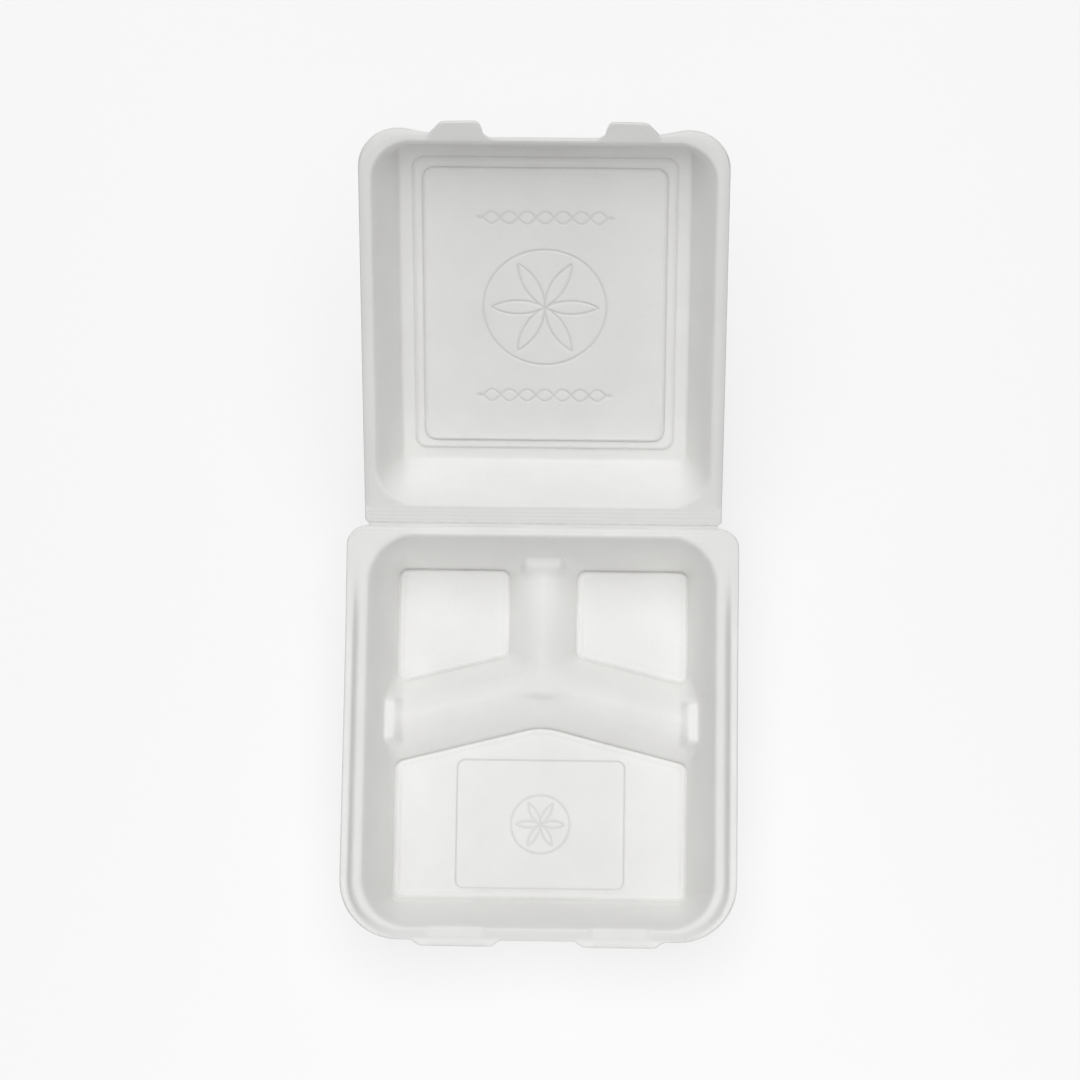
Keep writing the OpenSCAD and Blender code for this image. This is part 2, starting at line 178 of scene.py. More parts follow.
def rows_between(rows: Sequence[Array], every: int, half_width: float) -> Array:
    """Points in even rows between given rows, clear of the web and of the sides.

    Args:
        rows: The given rows, with as many points each.
        every: Take each point, or only every second or third.
        half_width: Half the width of the sheet.

    Returns:
        The points.
    """
    kept = []
    for a, b in zip(rows, rows[1:]):
        gap = np.linalg.norm(b - a, axis=1)
        count = max(round(float(np.median(gap)) / (ROW_STEP * every)), 1)
        for k in range(count):
            kept.append((a + (b - a) * k / count)[::every])
    kept.append(rows[-1][::every])
    points = np.vstack(kept)
    x, y = np.abs(points).T
    return points[(y >= WEB_CLEAR) & (x <= half_width - EDGE_CLEAR)]


def scattered(base: Array, patches: Sequence[Patch]) -> Array:
    """Puts patches of their own spacing over a base of points.

    Args:
        base: Points of the plain surface.
        patches: Each one's left, right, low and high edge and its two steps, the uppermost first.

    Returns:
        The points in all.
    """
    groups = []
    for left, right, low, high, step_x, step_y in patches:
        xs = np.linspace(left, right, max(round((right - left) / step_x), 1) + 1)
        ys = np.linspace(low, high, max(round((high - low) / step_y), 1) + 1)
        groups.append(np.stack(np.meshgrid(xs, ys), -1).reshape(-1, 2))
    groups.append(base)
    kept = []
    for k, group in enumerate(groups):
        free = np.ones(len(group), bool)
        for left, right, low, high, step_x, step_y in patches[:k]:
            inside_x = (group[:, 0] > left - step_x / 2) & (group[:, 0] < right + step_x / 2)
            inside_y = (group[:, 1] > low - step_y / 2) & (group[:, 1] < high + step_y / 2)
            free &= ~(inside_x & inside_y)
        kept.append(group[free])
    return np.vstack(kept)


def curved(points: Sequence[Span], steps: int) -> Array:
    """A smooth curve through a profile's points.

    Args:
        points: The profile as pairs of an outward push and a height.
        steps: How many pieces each stretch of the profile gets.

    Returns:
        The points of the curve, one a row.
    """
    p = np.array(points, float)
    p = np.vstack([2 * p[0] - p[1], p, 2 * p[-1] - p[-2]])
    t = np.linspace(0, 1, steps, endpoint=False)[:, None]
    rows = []
    for a, b, c, d in zip(p, p[1:], p[2:], p[3:]):
        square = 2 * a - 5 * b + 4 * c - d
        cube = 3 * b - a - 3 * c + d
        rows.append(0.5 * (2 * b + (c - a) * t + square * t**2 + cube * t**3))
    return np.vstack(rows + [p[-2:-1]])


def edge_normals(outline: Array) -> Array:
    """Outward unit normals of the edges of an anticlockwise outline."""
    edge = np.roll(outline, -1, axis=0) - outline
    return np.stack([edge[:, 1], -edge[:, 0]], 1) / np.linalg.norm(edge, axis=1)[:, None]


@dataclass(frozen=True)
class Ring:
    """A rounded convex outline at one level of a form."""

    corners: Array
    radii: Array
    height: float
    drop: float = 0.0

    @classmethod
    def pushed(cls, outline: Array, push: Sequence[float], radii: Sequence[float], height: float,
               drop: float = 0.0) -> "Ring":
        """Makes the ring whose edges lie outside an outline's edges.

        Args:
            outline: Corners in anticlockwise order.
            push: How far each edge moves out.
            radii: Radius of each corner.
            height: Height of the ring.
            drop: Share of the skirt's fall that the ring takes.

        Returns:
            The ring.
        """
        normal = edge_normals(outline)
        reach = (normal * outline).sum(1) + np.array(push, float)
        corners = []
        for i in range(len(outline)):
            pair = np.array([normal[i - 1], normal[i]])
            corners.append(np.linalg.solve(pair, np.array([reach[i - 1], reach[i]])))
        return cls(np.array(corners), np.array(radii, float), height, drop)

    def centres(self) -> Array:
        """Centres of the corner arcs."""
        b = edge_normals(self.corners)
        a = np.roll(b, 1, axis=0)
        return self.corners - (a + b) * (self.radii / (1 + (a * b).sum(1)))[:, None]

    def distance(self, x: Array, y: Array) -> Array:
        """Signed distance of points from the ring, positive outside.

        Args:
            x: First coordinates.
            y: Second coordinates.

        Returns:
            The distances, in the shape of x.
        """
        normal = edge_normals(self.corners)
        far = np.full(x.shape, -np.inf)
        for c, n in zip(self.corners, normal):
            far = np.maximum(far, (x - c[0]) * n[0] + (y - c[1]) * n[1])
        for i, (o, r) in enumerate(zip(self.centres(), self.radii)):
            a, b = normal[i - 1], normal[i]
            px, py = x - o[0], y - o[1]
            sector = (a[0] * py - a[1] * px > 0) & (px * b[1] - py * b[0] > 0)
            far = np.where(sector, np.hypot(px, py) - r, far)
        return far

    def within(self, x: Array, y: Array, margin: float) -> Array:
        """The points that lie inside the ring by more than a margin, one a row."""
        inside = self.distance(x, y) < -margin
        return np.stack([x[inside], y[inside]], 1)

    def path(self, counts: Sequence[int], turn: int) -> Array:
        """Points along the ring.

        Args:
            counts: How many points each straight edge gets.
            turn: How many points each corner gets.

        Returns:
            The points in anticlockwise order.
        """
        normal = edge_normals(self.corners)
        centre = self.centres()
        n = len(centre)
        parts = []
        for i in range(n):
            a, b = normal[i - 1], normal[i]
            first = math.atan2(a[1], a[0])
            sweep = math.atan2(a[0] * b[1] - a[1] * b[0], a @ b)
            g = first + sweep * np.linspace(0, 1, turn)
            parts.append(centre[i] + self.radii[i] * np.stack([np.cos(g), np.sin(g)], 1))
            end = centre[(i + 1) % n] + self.radii[(i + 1) % n] * b
            f = np.linspace(0, 1, counts[i] + 2)[1:-1, None]
            parts.append(parts[-1][-1] * (1 - f) + end * f)
        return np.vstack(parts)


@dataclass(frozen=True)
class Loft:
    """A surface through nested rings, from the innermost outwards."""

    rings: list[Ring]

    def height(self, x: Array, y: Array, fall: Array | float = 0.0, beyond: float | None = None) -> Array:
        """Heights of the surface.

        Args:
            x: First coordinates.
            y: Second coordinates.
            fall: Skirt's fall at each point.
            beyond: Height outside the last ring, or None to keep the last ring's.

        Returns:
            The heights, in the shape of x.
        """
        last = self.rings[0].distance(x, y)
        z = np.full(x.shape, self.rings[0].height)
        for a, b in zip(self.rings, self.rings[1:]):
            here = b.distance(x, y)
            t = np.clip(last / np.maximum(last - here, TINY), 0, 1)
            low, high = a.height - a.drop * fall, b.height - b.drop * fall
            z = np.where(last > 0, low + (high - low) * t, z)
            last = here
        return z if beyond is None else np.where(last > 0, beyond, z)


@dataclass(frozen=True)
class Field:
    """Heights on a regular grid, sampled smoothly between its points."""

    left: float
    low: float
    pitch: float
    z: Array

    @classmethod
    def of(cls, surface: Surface, half_width: float, low: float, high: float,
           pitch: float = 0.3) -> "Field":
        """Samples a surface whose left half mirrors its right half.

        Args:
            surface: Gives heights at points.
            half_width: Reach of the grid to either side.
            low: Least second coordinate.
            high: Greatest second coordinate.
            pitch: Spacing of the grid.

        Returns:
            The field.
        """
        xs = np.arange(0, half_width + pitch, pitch)
        ys = np.arange(low, high + pitch, pitch)
        right = surface(*np.meshgrid(xs, ys))
        return cls(-xs[-1], low, pitch, np.concatenate([right[:, :0:-1], right], axis=1))

    def blurred(self, sigma: float) -> "Field":
        """The field with its edges rounded.

        Args:
            sigma: Over what distance they are rounded.

        Returns:
            The new field.
        """
        reach = math.ceil(3 * sigma / self.pitch)
        taps = np.exp(-0.5 * (np.arange(-reach, reach + 1) * self.pitch / sigma) ** 2)
        taps /= taps.sum()
        z = self.z
        for axis in (0, 1):
            margins = [(reach, reach) if k == axis else (0, 0) for k in (0, 1)]
            wide = np.pad(z, margins, mode="edge")
            span = np.arange(z.shape[axis])
            z = sum(w * np.take(wide, span + i, axis=axis) for i, w in enumerate(taps))
        return Field(self.left, self.low, self.pitch, z)

    def sunk(self, depth: float) -> "Field":
        """The lower side of a sheet whose upper side is this field.

        Args:
            depth: Thickness of the sheet.

        Returns:
            The new field.
        """
        reach = int(depth / self.pitch)
        wide = np.pad(self.z, reach, mode="edge")
        rows, columns = self.z.shape
        z = self.z - depth
        for i in range(-reach, reach + 1):
            for j in range(-reach, reach + 1):
                rest = depth**2 - (i * i + j * j) * self.pitch**2
                if rest >= 0:
                    part = wide[reach + i:reach + i + rows, reach + j:reach + j + columns]
                    z = np.minimum(z, part - math.sqrt(rest))
        return Field(self.left, self.low, self.pitch, z)

    def sample(self, x: Array, y: Array) -> Array:
        """Heights at points, by cubic splines.

        Args:
            x: First coordinates.
            y: Second coordinates.

        Returns:
            The heights, in the shape of x.
        """
        fx, fy = (x - self.left) / self.pitch, (y - self.low) / self.pitch
        rows, columns = self.z.shape
        ix, iy = np.floor(fx).astype(int), np.floor(fy).astype(int)
        total = np.zeros(x.shape)
        for i, wx in enumerate(self.weights(fx - ix)):
            for j, wy in enumerate(self.weights(fy - iy)):
                row = np.clip(iy + j - 1, 0, rows - 1)
                column = np.clip(ix + i - 1, 0, columns - 1)
                total += wx * wy * self.z[row, column]
        return total

    @staticmethod
    def weights(t: Array) -> tuple[Array, Array, Array, Array]:
        """Shares of the four neighbours of a point t of the way between the middle two."""
        return ((1 - t) ** 3 / 6, (3 * t**3 - 6 * t**2 + 4) / 6,
                (-3 * t**3 + 3 * t**2 + 3 * t + 1) / 6, t**3 / 6)


@dataclass
class FoamSheet:
    """A closed sheet over one outline: an upper and a lower surface with a rounded edge between them."""

    name: str
    outline: Array
    edge_radius: Array
    upper: Surface
    lower: Surface
    painted_shade: Surface
    upper_points: Array
    lower_points: Array

    def inset(self, share: float) -> Array:
        """The outline moved in by a share of the edge's radius."""
        along = np.roll(self.outline, -1, axis=0) - np.roll(self.outline, 1, axis=0)
        normal = np.stack([along[:, 1], -along[:, 0]], 1) / np.linalg.norm(along, axis=1)[:, None]
        return self.outline - normal * (share * self.edge_radius)[:, None]

    def skin(self, surface: Surface, points: Array, shares: Sequence[float],
             sign: float) -> tuple[Array, Array]:
        """Meshes one side of the sheet.

        Args:
            surface: Gives the side's heights.
            points: Points inside the rounded edge.
            shares: Insets of the rows along the edge, as shares of its radius, the first of them 0.
            sign: 1 for the upper side and -1 for the lower side.

        Returns:
            The vertices, of which the outline's come first, and the triangles.
        """
        rows = [self.inset(s) for s in shares]
        bend = [self.edge_radius * (1 - math.sqrt(1 - (1 - s) ** 2)) for s in shares]
        flat = np.vstack(rows + [points])
        drop = np.concatenate(bend + [np.zeros(len(points))])
        n = len(self.outline)
        loop = [(i, (i + 1) % n) for i in range(n)]
        found = delaunay_2d_cdt([Vector(p) for p in flat], loop, [], INSIDE_ONLY, WELD)
        _, _, cells, origins, _, _ = found
        source = np.array([ids[0] if ids else -1 for ids in origins])
        triangles = source[np.array(cells)]
        used = np.union1d(np.arange(n), triangles)
        order = np.full(len(flat), -1)
        order[used] = np.arange(len(used))
        x, y = flat[used, 0], flat[used, 1]
        vertices = np.stack([x, y, surface(x, y) - sign * drop[used]], 1)
        triangles = order[triangles]
        a, b, c = (vertices[triangles[:, k], :2] for k in range(3))
        area = (b[:, 0] - a[:, 0]) * (c[:, 1] - a[:, 1]) - (b[:, 1] - a[:, 1]) * (c[:, 0] - a[:, 0])
        solid = np.abs(area) > LEAST_AREA
        triangles = triangles[solid]
        turned = area[solid] * sign < 0
        triangles[turned] = triangles[turned][:, ::-1]
        return vertices, triangles

    def build(self, place: Matrix) -> bpy.types.Object:
        """Makes the sheet's object.

        Args:
            place: Takes the sheet's millimetres to the row frame in metres.

        Returns:
            The object, smoothly shaded.
        """
        top, top_faces = self.skin(self.upper, self.upper_points, UPPER_INSETS, 1.0)
        low, low_faces = self.skin(self.lower, self.lower_points, LOWER_INSETS, -1.0)
        n = len(self.outline)
        i = np.arange(n)
        j = (i + 1) % n
        k = len(top)
        band = np.vstack([np.stack([i, i + k, j + k], 1), np.stack([i, j + k, j], 1)])
        faces = np.vstack([top_faces, low_faces + k, band])
        piece = mesh_object(self.name, np.vstack([top, low]), faces, place)
        # Painted shade: each upper point's share of the shade colour; the lower side gets none
        share = np.concatenate([self.painted_shade(top[:, 0], top[:, 1]), np.zeros(len(low))])
        tone = piece.data.attributes.new(PAINTED_SHADE_ATTRIBUTE, "FLOAT", "POINT")
        tone.data.foreach_set("value", share.astype(np.float32))
        return piece


def mesh_object(name: str, vertices: Array, faces: Array, place: Matrix) -> bpy.types.Object:
    """Makes a smoothly shaded mesh object.

    Args:
        name: Name of the object.
        vertices: Points in the piece's own millimetres.
        faces: Triangles or quads as rows of indices.
        place: Takes the points to the row frame in metres.

    Returns:
        The object, linked to the scene.
    """
    turn = np.array(place.to_3x3())
    points = vertices @ turn.T + np.array(place.translation)
    mesh = bpy.data.meshes.new(name)
    mesh.from_pydata(points.tolist(), [], faces.tolist())
    mesh.shade_smooth()
    mesh.update()
    piece = bpy.data.objects.new(name, mesh)
    bpy.context.scene.collection.objects.link(piece)
    return piece


@dataclass(frozen=True)
class NodeKit:
    """Makes a material's nodes and links them."""

    material: bpy.types.Material

    @classmethod
    def named(cls, name: str) -> "NodeKit":
        """A kit for a new material of a name."""
        material = bpy.data.materials.new(name)
        material.use_nodes = True
        return cls(material)

    def feed(self, node: bpy.types.Node, inputs: Inputs) -> bpy.types.Node:
        """Sets or links a node's sockets.

        Args:
            node: The node.
            inputs: What each named or numbered socket gets: a value, or another node's output.

        Returns:
            The node.
        """
        for socket, value in inputs.items():
            if isinstance(value, bpy.types.NodeSocket):
                self.material.node_tree.links.new(value, node.inputs[socket])
            else:
                node.inputs[socket].default_value = value
        return node

    def add(self, kind: str, **inputs: Value) -> bpy.types.Node:
        """Makes a node of a kind and sets or links its named sockets."""
        return self.feed(self.material.node_tree.nodes.new(kind), inputs)

    def result(self, operation: str, *inputs: Value) -> bpy.types.NodeSocket:
        """The result of a sum on values or outputs."""
        node = self.feed(self.add("ShaderNodeMath"), dict(enumerate(inputs)))
        node.operation = operation
        return node.outputs[0]

    def ramp(self, where: bpy.types.NodeSocket, ends: Span,
             colours: tuple[Colour, Colour]) -> bpy.types.NodeSocket:
        """A colour between two colours.

        Args:
            where: The value that picks the colour.
            ends: The values at which the two colours are reached.
            colours: The two colours.

        Returns:
            The colour's output.
        """
        node = self.add("ShaderNodeValToRGB", Fac=where)
        for stop, end, colour in zip(node.color_ramp.elements, ends, colours):
            stop.position = end
            stop.color = (*colour, 1.0)
        return node.outputs["Color"]


@dataclass(frozen=True)
class FoamFinish:
    """White foam: a matte skin with fine cells, faint mottling and a slight lustre, greyed by painted shade
    in its grooves and lines.
    """

    name: str
    light: Colour
    dark: Colour
    # Colour of the painted shade in grooves and lines
    shade_colour: Colour = (0.56, 0.56, 0.55)
    tint_ends: Span = (0.35, 0.95)
    cell_mm: float = 0.8
    cell_depth_mm: float = 0.03
    cell_bump: float = 0.5
    cell_tint: float = 0.35
    grain_cells: float = 2.6
    grain_detail: float = 3.0
    grain_depth: float = 2.5
    grain_bump: float = 0.6
    mottle_mm: float = 26.0
    mottle_detail: float = 5.0
    rough: Span = (0.5, 0.66)
    lustre: float = 0.35
    soak: float = 0.06
    soak_m: Colour = (0.003, 0.003, 0.0028)

    def build(self) -> bpy.types.Material:
        """Makes the material's nodes.

        Returns:
            The material.
        """
        kit = NodeKit.named(self.name)
        where = kit.add("ShaderNodeTexCoord").outputs["Object"]
        mottle = kit.add("ShaderNodeTexNoise", Vector=where, Detail=self.mottle_detail,
                         Scale=1 / (self.mottle_mm * MM))
        cells = kit.add("ShaderNodeTexVoronoi", Vector=where, Scale=1 / (self.cell_mm * MM))
        grain = kit.add("ShaderNodeTexNoise", Vector=where, Detail=self.grain_detail,
                        Scale=1 / (self.grain_cells * self.cell_mm * MM))
        cell, fine = cells.outputs["Distance"], grain.outputs["Fac"]

        speck = kit.result("MULTIPLY_ADD", cell, self.cell_tint, mottle.outputs["Fac"])
        tint = kit.ramp(speck, self.tint_ends, (self.light, self.dark))
        # Painted shade: the attribute mixes the shade colour into the tint
        painted_shade = kit.add("ShaderNodeAttribute")
        painted_shade.attribute_name = PAINTED_SHADE_ATTRIBUTE
        tone = kit.add("ShaderNodeMix")
        tone.data_type = "RGBA"
        plain, shade_input = (k for k, s in enumerate(tone.inputs) if s.type == "RGBA")
        kit.feed(tone, {"Factor": painted_shade.outputs["Fac"], plain: tint, shade_input: (*self.shade_colour, 1.0)})

        rough = kit.add("ShaderNodeMapRange", Value=fine)
        kit.feed(rough, {"To Min": self.rough[0], "To Max": self.rough[1]})
        cell_bump = kit.add("ShaderNodeBump", Height=cell, Strength=self.cell_bump,
                            Distance=self.cell_depth_mm * MM)
        grain_bump = kit.add("ShaderNodeBump", Height=fine, Strength=self.grain_bump,
                             Distance=self.grain_depth * self.cell_depth_mm * MM,
                             Normal=cell_bump.outputs["Normal"])
        kit.feed(kit.material.node_tree.nodes["Principled BSDF"], {
            "Base Color": next(s for s in tone.outputs if s.type == "RGBA"),
            "Roughness": rough.outputs["Result"],
            "Normal": grain_bump.outputs["Normal"],
            "Specular IOR Level": self.lustre,
            "Subsurface Weight": self.soak,
            "Subsurface Radius": self.soak_m,
            "Subsurface Scale": 1.0})
        return kit.material


@dataclass(frozen=True)
class Line:
    """A rounded line that runs beside an edge: in relief, or as a band of painted shade."""

    height: float
    off: float
    half: float

    def at(self, away: Array) -> Array:
        """Heights of the line at distances from the edge."""
        return self.height * bell(away - self.off, self.half)


@dataclass(frozen=True)
class Waves:
    """A faint unevenness: two slow waves that cross, and one aslant."""

    height: float
    across: Span
    along: float
    aslant: Span

    def at(self, x: Array, y: Array) -> Array:
        """Heights of the waves at points."""
        crossed = np.sin(self.across[0] * x + self.across[1]) * np.sin(self.along * y)
        return self.height * (crossed + np.sin(self.aslant[0] * x + self.aslant[1] * y))


@dataclass(frozen=True)
class Rosette:
    """A sunk ring round a flower of six petals, drawn with arcs of one radius."""

    y: float
    ring: float
    petal: float
    line: float = 0.42
    rise: float = -0.6
    margin: float = 1.8

    def lines(self, x: Array, y: Array) -> Array:
        """How close points are to a line.

        Args:
            x: First coordinates.
            y: Second coordinates.

        Returns:
            Shares from 0 to 1.
        """
        up = y - self.y
        reach = np.hypot(x, up)
        near = np.abs(reach - self.ring)
        for k in range(6):
            g = k * math.pi / 3
            px, py = x - self.petal * math.cos(g), up - self.petal * math.sin(g)
            arc = np.abs(np.hypot(px, py) - self.petal)
            near = np.minimum(near, np.where(reach < self.petal + 0.3, arc, FAR))
        return bell(near, self.line)

    def patch(self, step: float) -> Patch:
        """The patch of points that the ornament needs."""
        r = self.ring + self.margin
        return (-r, r, self.y - r, self.y + r, step, step)


@dataclass(frozen=True)
class Braid:
    """Two sunk waves that cross each other, fading out at both ends."""

    y: float
    half_length: float = 36.0
    swing: float = 3.2
    wave: float = 18.0
    taper: float = 9.0
    fade: float = 3.0
    line: float = 0.4
    rise: float = -0.45
    margin: float = 1.8

    def lines(self, x: Array, y: Array) -> Array:
        """How close points are to a line.

        Args:
            x: First coordinates.
            y: Second coordinates.

        Returns:
            Shares from 0 to 1.
        """
        rest = self.half_length - np.abs(x)
        angle = 2 * math.pi * x / self.wave
        lift = self.swing * smooth(rest / self.taper) * np.cos(angle)
        lean = np.sqrt(1 + (2 * math.pi * self.swing / self.wave * np.sin(angle)) ** 2)
        near = np.minimum(np.abs(y - self.y - lift), np.abs(y - self.y + lift)) / lean
        return bell(near, self.line) * smooth(rest / self.fade)

    def patch(self, step: float) -> Patch:
        """The patch of points that the ornament needs."""
        reach = self.swing + self.margin
        return (-self.half_length, self.half_length, self.y - reach, self.y + reach, step, step)


class Moulding(ABC):
    """A form moulded from one even sheet, with a rim round it."""

    @abstractmethod
    def relief(self, x: Array, y: Array) -> Array:
        """Fine relief on the upper side at points."""

    @abstractmethod
    def painted_shade(self, x: Array, y: Array) -> Array:
        """Share of painted shade at points, from 0 to 1: how far the grooves and lines are darkened where
        shade falls.
        """

    @abstractmethod
    def outline(self) -> tuple[Array, Array]:
        """Points of the edge in anticlockwise order, and the edge's radius at each of them."""

    @abstractmethod
    def lines(self, coarse: float) -> Array:
        """Points inside the walls, so many times coarser than the finest."""

    @abstractmethod
    def rim_points(self, outline: Array, every: int) -> Array:
        """Points between the walls and the edge: each one, or only every second or third."""

    def foam(self, name: str, upper: Field, patches: Sequence[Patch],
             table: float = -math.inf) -> FoamSheet:
        """The sheet below an upper side.

        Args:
            name: Name of the piece.
            upper: The upper side without its fine relief.
            patches: Where the upper side has finer points.
            table: Height that the lower side stays above.

        Returns:
            The sheet.
        """
        lower = upper.sunk(SHEET).blurred(LOWER_BLUR)
        outline, radius = self.outline()
        fine = np.vstack([self.lines(1.0), self.rim_points(outline, 1)])
        coarse = np.vstack([self.lines(LOWER_COARSE), self.rim_points(outline, LOWER_EVERY)])
        return FoamSheet(name, outline, radius, lambda x, y: upper.sample(x, y) + self.relief(x, y),
                         lambda x, y: np.maximum(lower.sample(x, y), table), self.painted_shade,
                         scattered(fine, patches), coarse)


@dataclass
class Tray(Moulding):
    """The three-compartment tray. Sizes in millimetres from the crease, with the front at negative y."""

    half_width: float = 100.0
    length: float = 211.0
    rim_back: float = 6.0
    rim_front: float = 6.5
    rim_side: float = 11.5
    rim_r: float = 24.0
    bead: float = 4.8
    skirt_drop: float = 5.0
    skirt_back: Span = (12.0, 45.0)
    skirt_front: Span = (8.0, 14.0)
    skirt_ease: float = 0.3
    lip: float = 3.8
    lip_front: float = 0.6
    lip_front_r: float = 30.0
    lip_back_r: float = 10.0
    depth: float = 41.0
    floor_r: float = 4.5
    run_side: float = 13.5
    run_back: float = 10.0
    run_front: float = 17.0
    cove: tuple[Span, ...] = ((1.0, 0.16), (0.7, 0.32), (0.4, 0.6), (0.0, 1.0))
    divider: float = 15.0
    flank: tuple[Span, ...] = ((0.1, 0.12), (0.21, 0.31), (0.35, 0.51), (0.52, 0.7), (0.73, 0.88),
                               (1.0, 1.0))
    levels: tuple[float, ...] = (0.02, 0.06, 0.11, 0.17, 0.24, 0.32, 0.41, 0.5, 0.59, 0.68, 0.77, 0.85,
                                 0.91, 0.96, 0.99, 1.0)
    crossing_grow: float = 0.35
    spine_half: float = 17.5
    arm_half: float = 19.5
    fork: float = 77.5
    slant: float = 14.3
    crest_half: float = 1.5
    apex_r: float = 34.0
    fork_half: float = 7.0
    brow: float = 1.0
    brow_off: float = 4.5
    brow_half: float = 2.2
    dent: float = 1.8
    dent_off: float = 5.5
    dent_lean: float = 2.5
    dent_fade: float = 9.0
    gutter: float = 1.0
    gutter_edge: tuple[Span, ...] = ((-2.4, 0.0), (-1.8, -0.02), (-1.3, -0.12), (-0.9, -0.34),
                                     (-0.6, -0.66), (-0.35, -1.0), (0.2, -1.0))
    gutter_line: Line = Line(1.1, -0.05, 0.32)
    # Painted shade in the gutters, darkest along the floors' back edges where the light leaves them in
    # shade
    gutter_shade: Line = Line(0.45, -0.05, 0.42)
    gutter_faint: float = 0.45
    floor_bead: Line = Line(0.35, -1.9, 0.7)
    floor_dip: Line = Line(0.2, -3.8, 0.6)
    floor_waves: Waves = Waves(0.07, (0.21, 0.7), 0.17, (0.11, -0.13))
    waves_fade: float = 6.0
    ledge_rise: float = 2.4
    ledge_out: float = 10.2
    ledge_lean: float = 5.5
    ledge_side: float = 20.0
    ledge_back: float = 18.0
    ledge_end: float = 3.0
    ledge_shift: float = 0.5
    ledge_dish: Line = Line(0.8, 0.4, 0.6)
    panel_w: float = 86.0
    panel_l: float = 66.0
    panel_r: float = 4.0
    panel_sink: float = 0.5
    panel_step: float = 0.5
    panel_bead: Line = Line(0.32, 0.8, 0.45)
    # Painted shade along the panel's border and in the emblem's lines
    panel_shade: Line = Line(0.4, 0.0, 0.36)
    emblem_shade: float = 0.35
    lug_w: float = 36.0
    lug_foot: float = 45.0
    lug_out: float = 3.0
    notch_half: float = 12.5
    notch_lean: float = 6.5
    notch_rise: float = 5.6
    notch_r: float = 3.0
    notch_sink: float = 0.9
    notch_fall: float = 0.36
    notch_back: float = 9.0
    scores: tuple[Line, ...] = (Line(0.12, -2.1, 0.45), Line(0.12, -3.8, 0.45))
    score_patch: Patch = (-92.0, 92.0, -5.0, -1.3, 1.4, 0.22)
    edge_points: tuple[int, ...] = (190, 150, 130, 150)
    turn_points: int = 16
    across: tuple[Span, ...] = ((13.5, 1.0), (16.4, 0.5), (18.4, 0.2), (22, 0.7), (70.5, 1.7), (74, 0.5),
                                (76, 0.2), (79, 0.6), (89, 0.9))
    along_from: float = 5.0
    along: tuple[Span, ...] = ((13, 0.9), (15, 0.5), (17, 0.2), (20.5, 0.5), (52.5, 1.7), (56.3, 0.5),
                               (58.4, 0.2), (62, 0.7), (93, 0.95), (96.6, 0.5), (98.6, 0.2), (102, 0.5),
                               (183, 1.7), (186.5, 0.5), (188.5, 0.2), (192, 0.6), (205, 0.9))
    lean_back: Span = (19.0, 31.0)
    lean_front: Span = (184.0, 81.0)
    field_reach: Reach = (104.0, -219.0, 3.0)
    blur: float = 0.3

    def __post_init__(self) -> None:
        """Works out the lines that several faces share."""
        self.in_x = self.half_width - self.rim_side
        self.in_back = -self.rim_back
        self.in_front = self.rim_front - self.length
        self.foot_x = self.in_x - self.run_side
        self.foot_back = self.in_back - self.run_back
        self.foot_front = self.in_front + self.run_front
        self.floor_z = RIM_Z - self.depth
        self.slope = math.tan(math.radians(self.slant))
        self.shift = self.arm_half / math.cos(math.radians(self.slant))
        self.rim_box = np.array([[-self.in_x, self.in_front], [self.in_x, self.in_front],
                                 [self.in_x, self.in_back], [-self.in_x, self.in_back]])
        self.panel_y = (self.foot_front - self.fork - self.shift) / 2 - 6
        self.emblem = Rosette(self.panel_y, 15.0, 12.5)
        fx, s, half = self.foot_x, self.slope, self.spine_half
        peak, valley = -self.fork - self.shift, -self.fork + self.shift
        self.front_floor = [(-fx, self.foot_front), (fx, self.foot_front), (fx, peak - fx * s), (0.0, peak),
                            (-fx, peak - fx * s)]
        self.front_corners = [self.floor_r] * 3 + [self.apex_r, self.floor_r]
        self.back_corners = [self.floor_r] * 4
        self.back_floor = [(-fx, valley - fx * s), (-half, valley - half * s), (-half, self.foot_back),
                           (-fx, self.foot_back)]

    def profile(self, face: Face) -> Array:
        """The curve of one face from the gutter to the top of the dividers.

        Args:
            face: Which face it is.

        Returns:
            Rows of outward push and height above the floor.
        """
        h, g = self.divider, self.gutter
        foot = [(0.2, -g), (0.42, -0.5 * g)]
        if face in (Face.ARM, Face.SPINE):
            top = (self.arm_half if face is Face.ARM else self.spine_half) - self.crest_half
            return curved(foot + [(p * top, q * h) for p, q in self.flank], 5)
        run = {Face.FRONT: self.run_front, Face.BACK: self.run_back, Face.SIDE: self.run_side}[face]
        k = run / self.depth
        foot.append((0.7 + 0.6 * k, 0.05 * h))
        return curved(foot + [(p + q * h * k, q * h) for p, q in self.cove], 5)

    def compartment(self, outline: Sequence[Span], faces: Sequence[Face], crossing: Sequence[bool],
                    corners: Sequence[float]) -> Loft:
        """One compartment, from its floor to the top of the dividers.

        Args:
            outline: Corners of the floor in anticlockwise order.
            faces: Kind of each face.
            crossing: Whether a divider starts at each corner.
            corners: Radius of each corner of the floor.

        Returns:
            The compartment's inner surface.
        """
        box = np.array(outline, float)
        g = self.gutter
        gutter = curved([(p, q * g) for p, q in self.gutter_edge], 2)
        levels = [([p] * len(faces), z) for p, z in gutter]
        curves = [self.profile(f) for f in faces]
        rise = self.divider * np.array(self.levels)
        for z in np.concatenate([[-0.75 * g, -0.4 * g], rise]):
            levels.append(([float(np.interp(z, c[:, 1], c[:, 0])) for c in curves], float(z)))
        rings = []
        for push, z in levels:
            h = max(z, 0.0)
            wall_r = h / self.depth * (self.rim_r - self.floor_r)
            radii = [r + (self.crossing_grow * h if x else wall_r) for r, x in zip(corners, crossing)]
            rings.append(Ring.pushed(box, push, radii, self.floor_z + z))
        return Loft(rings)

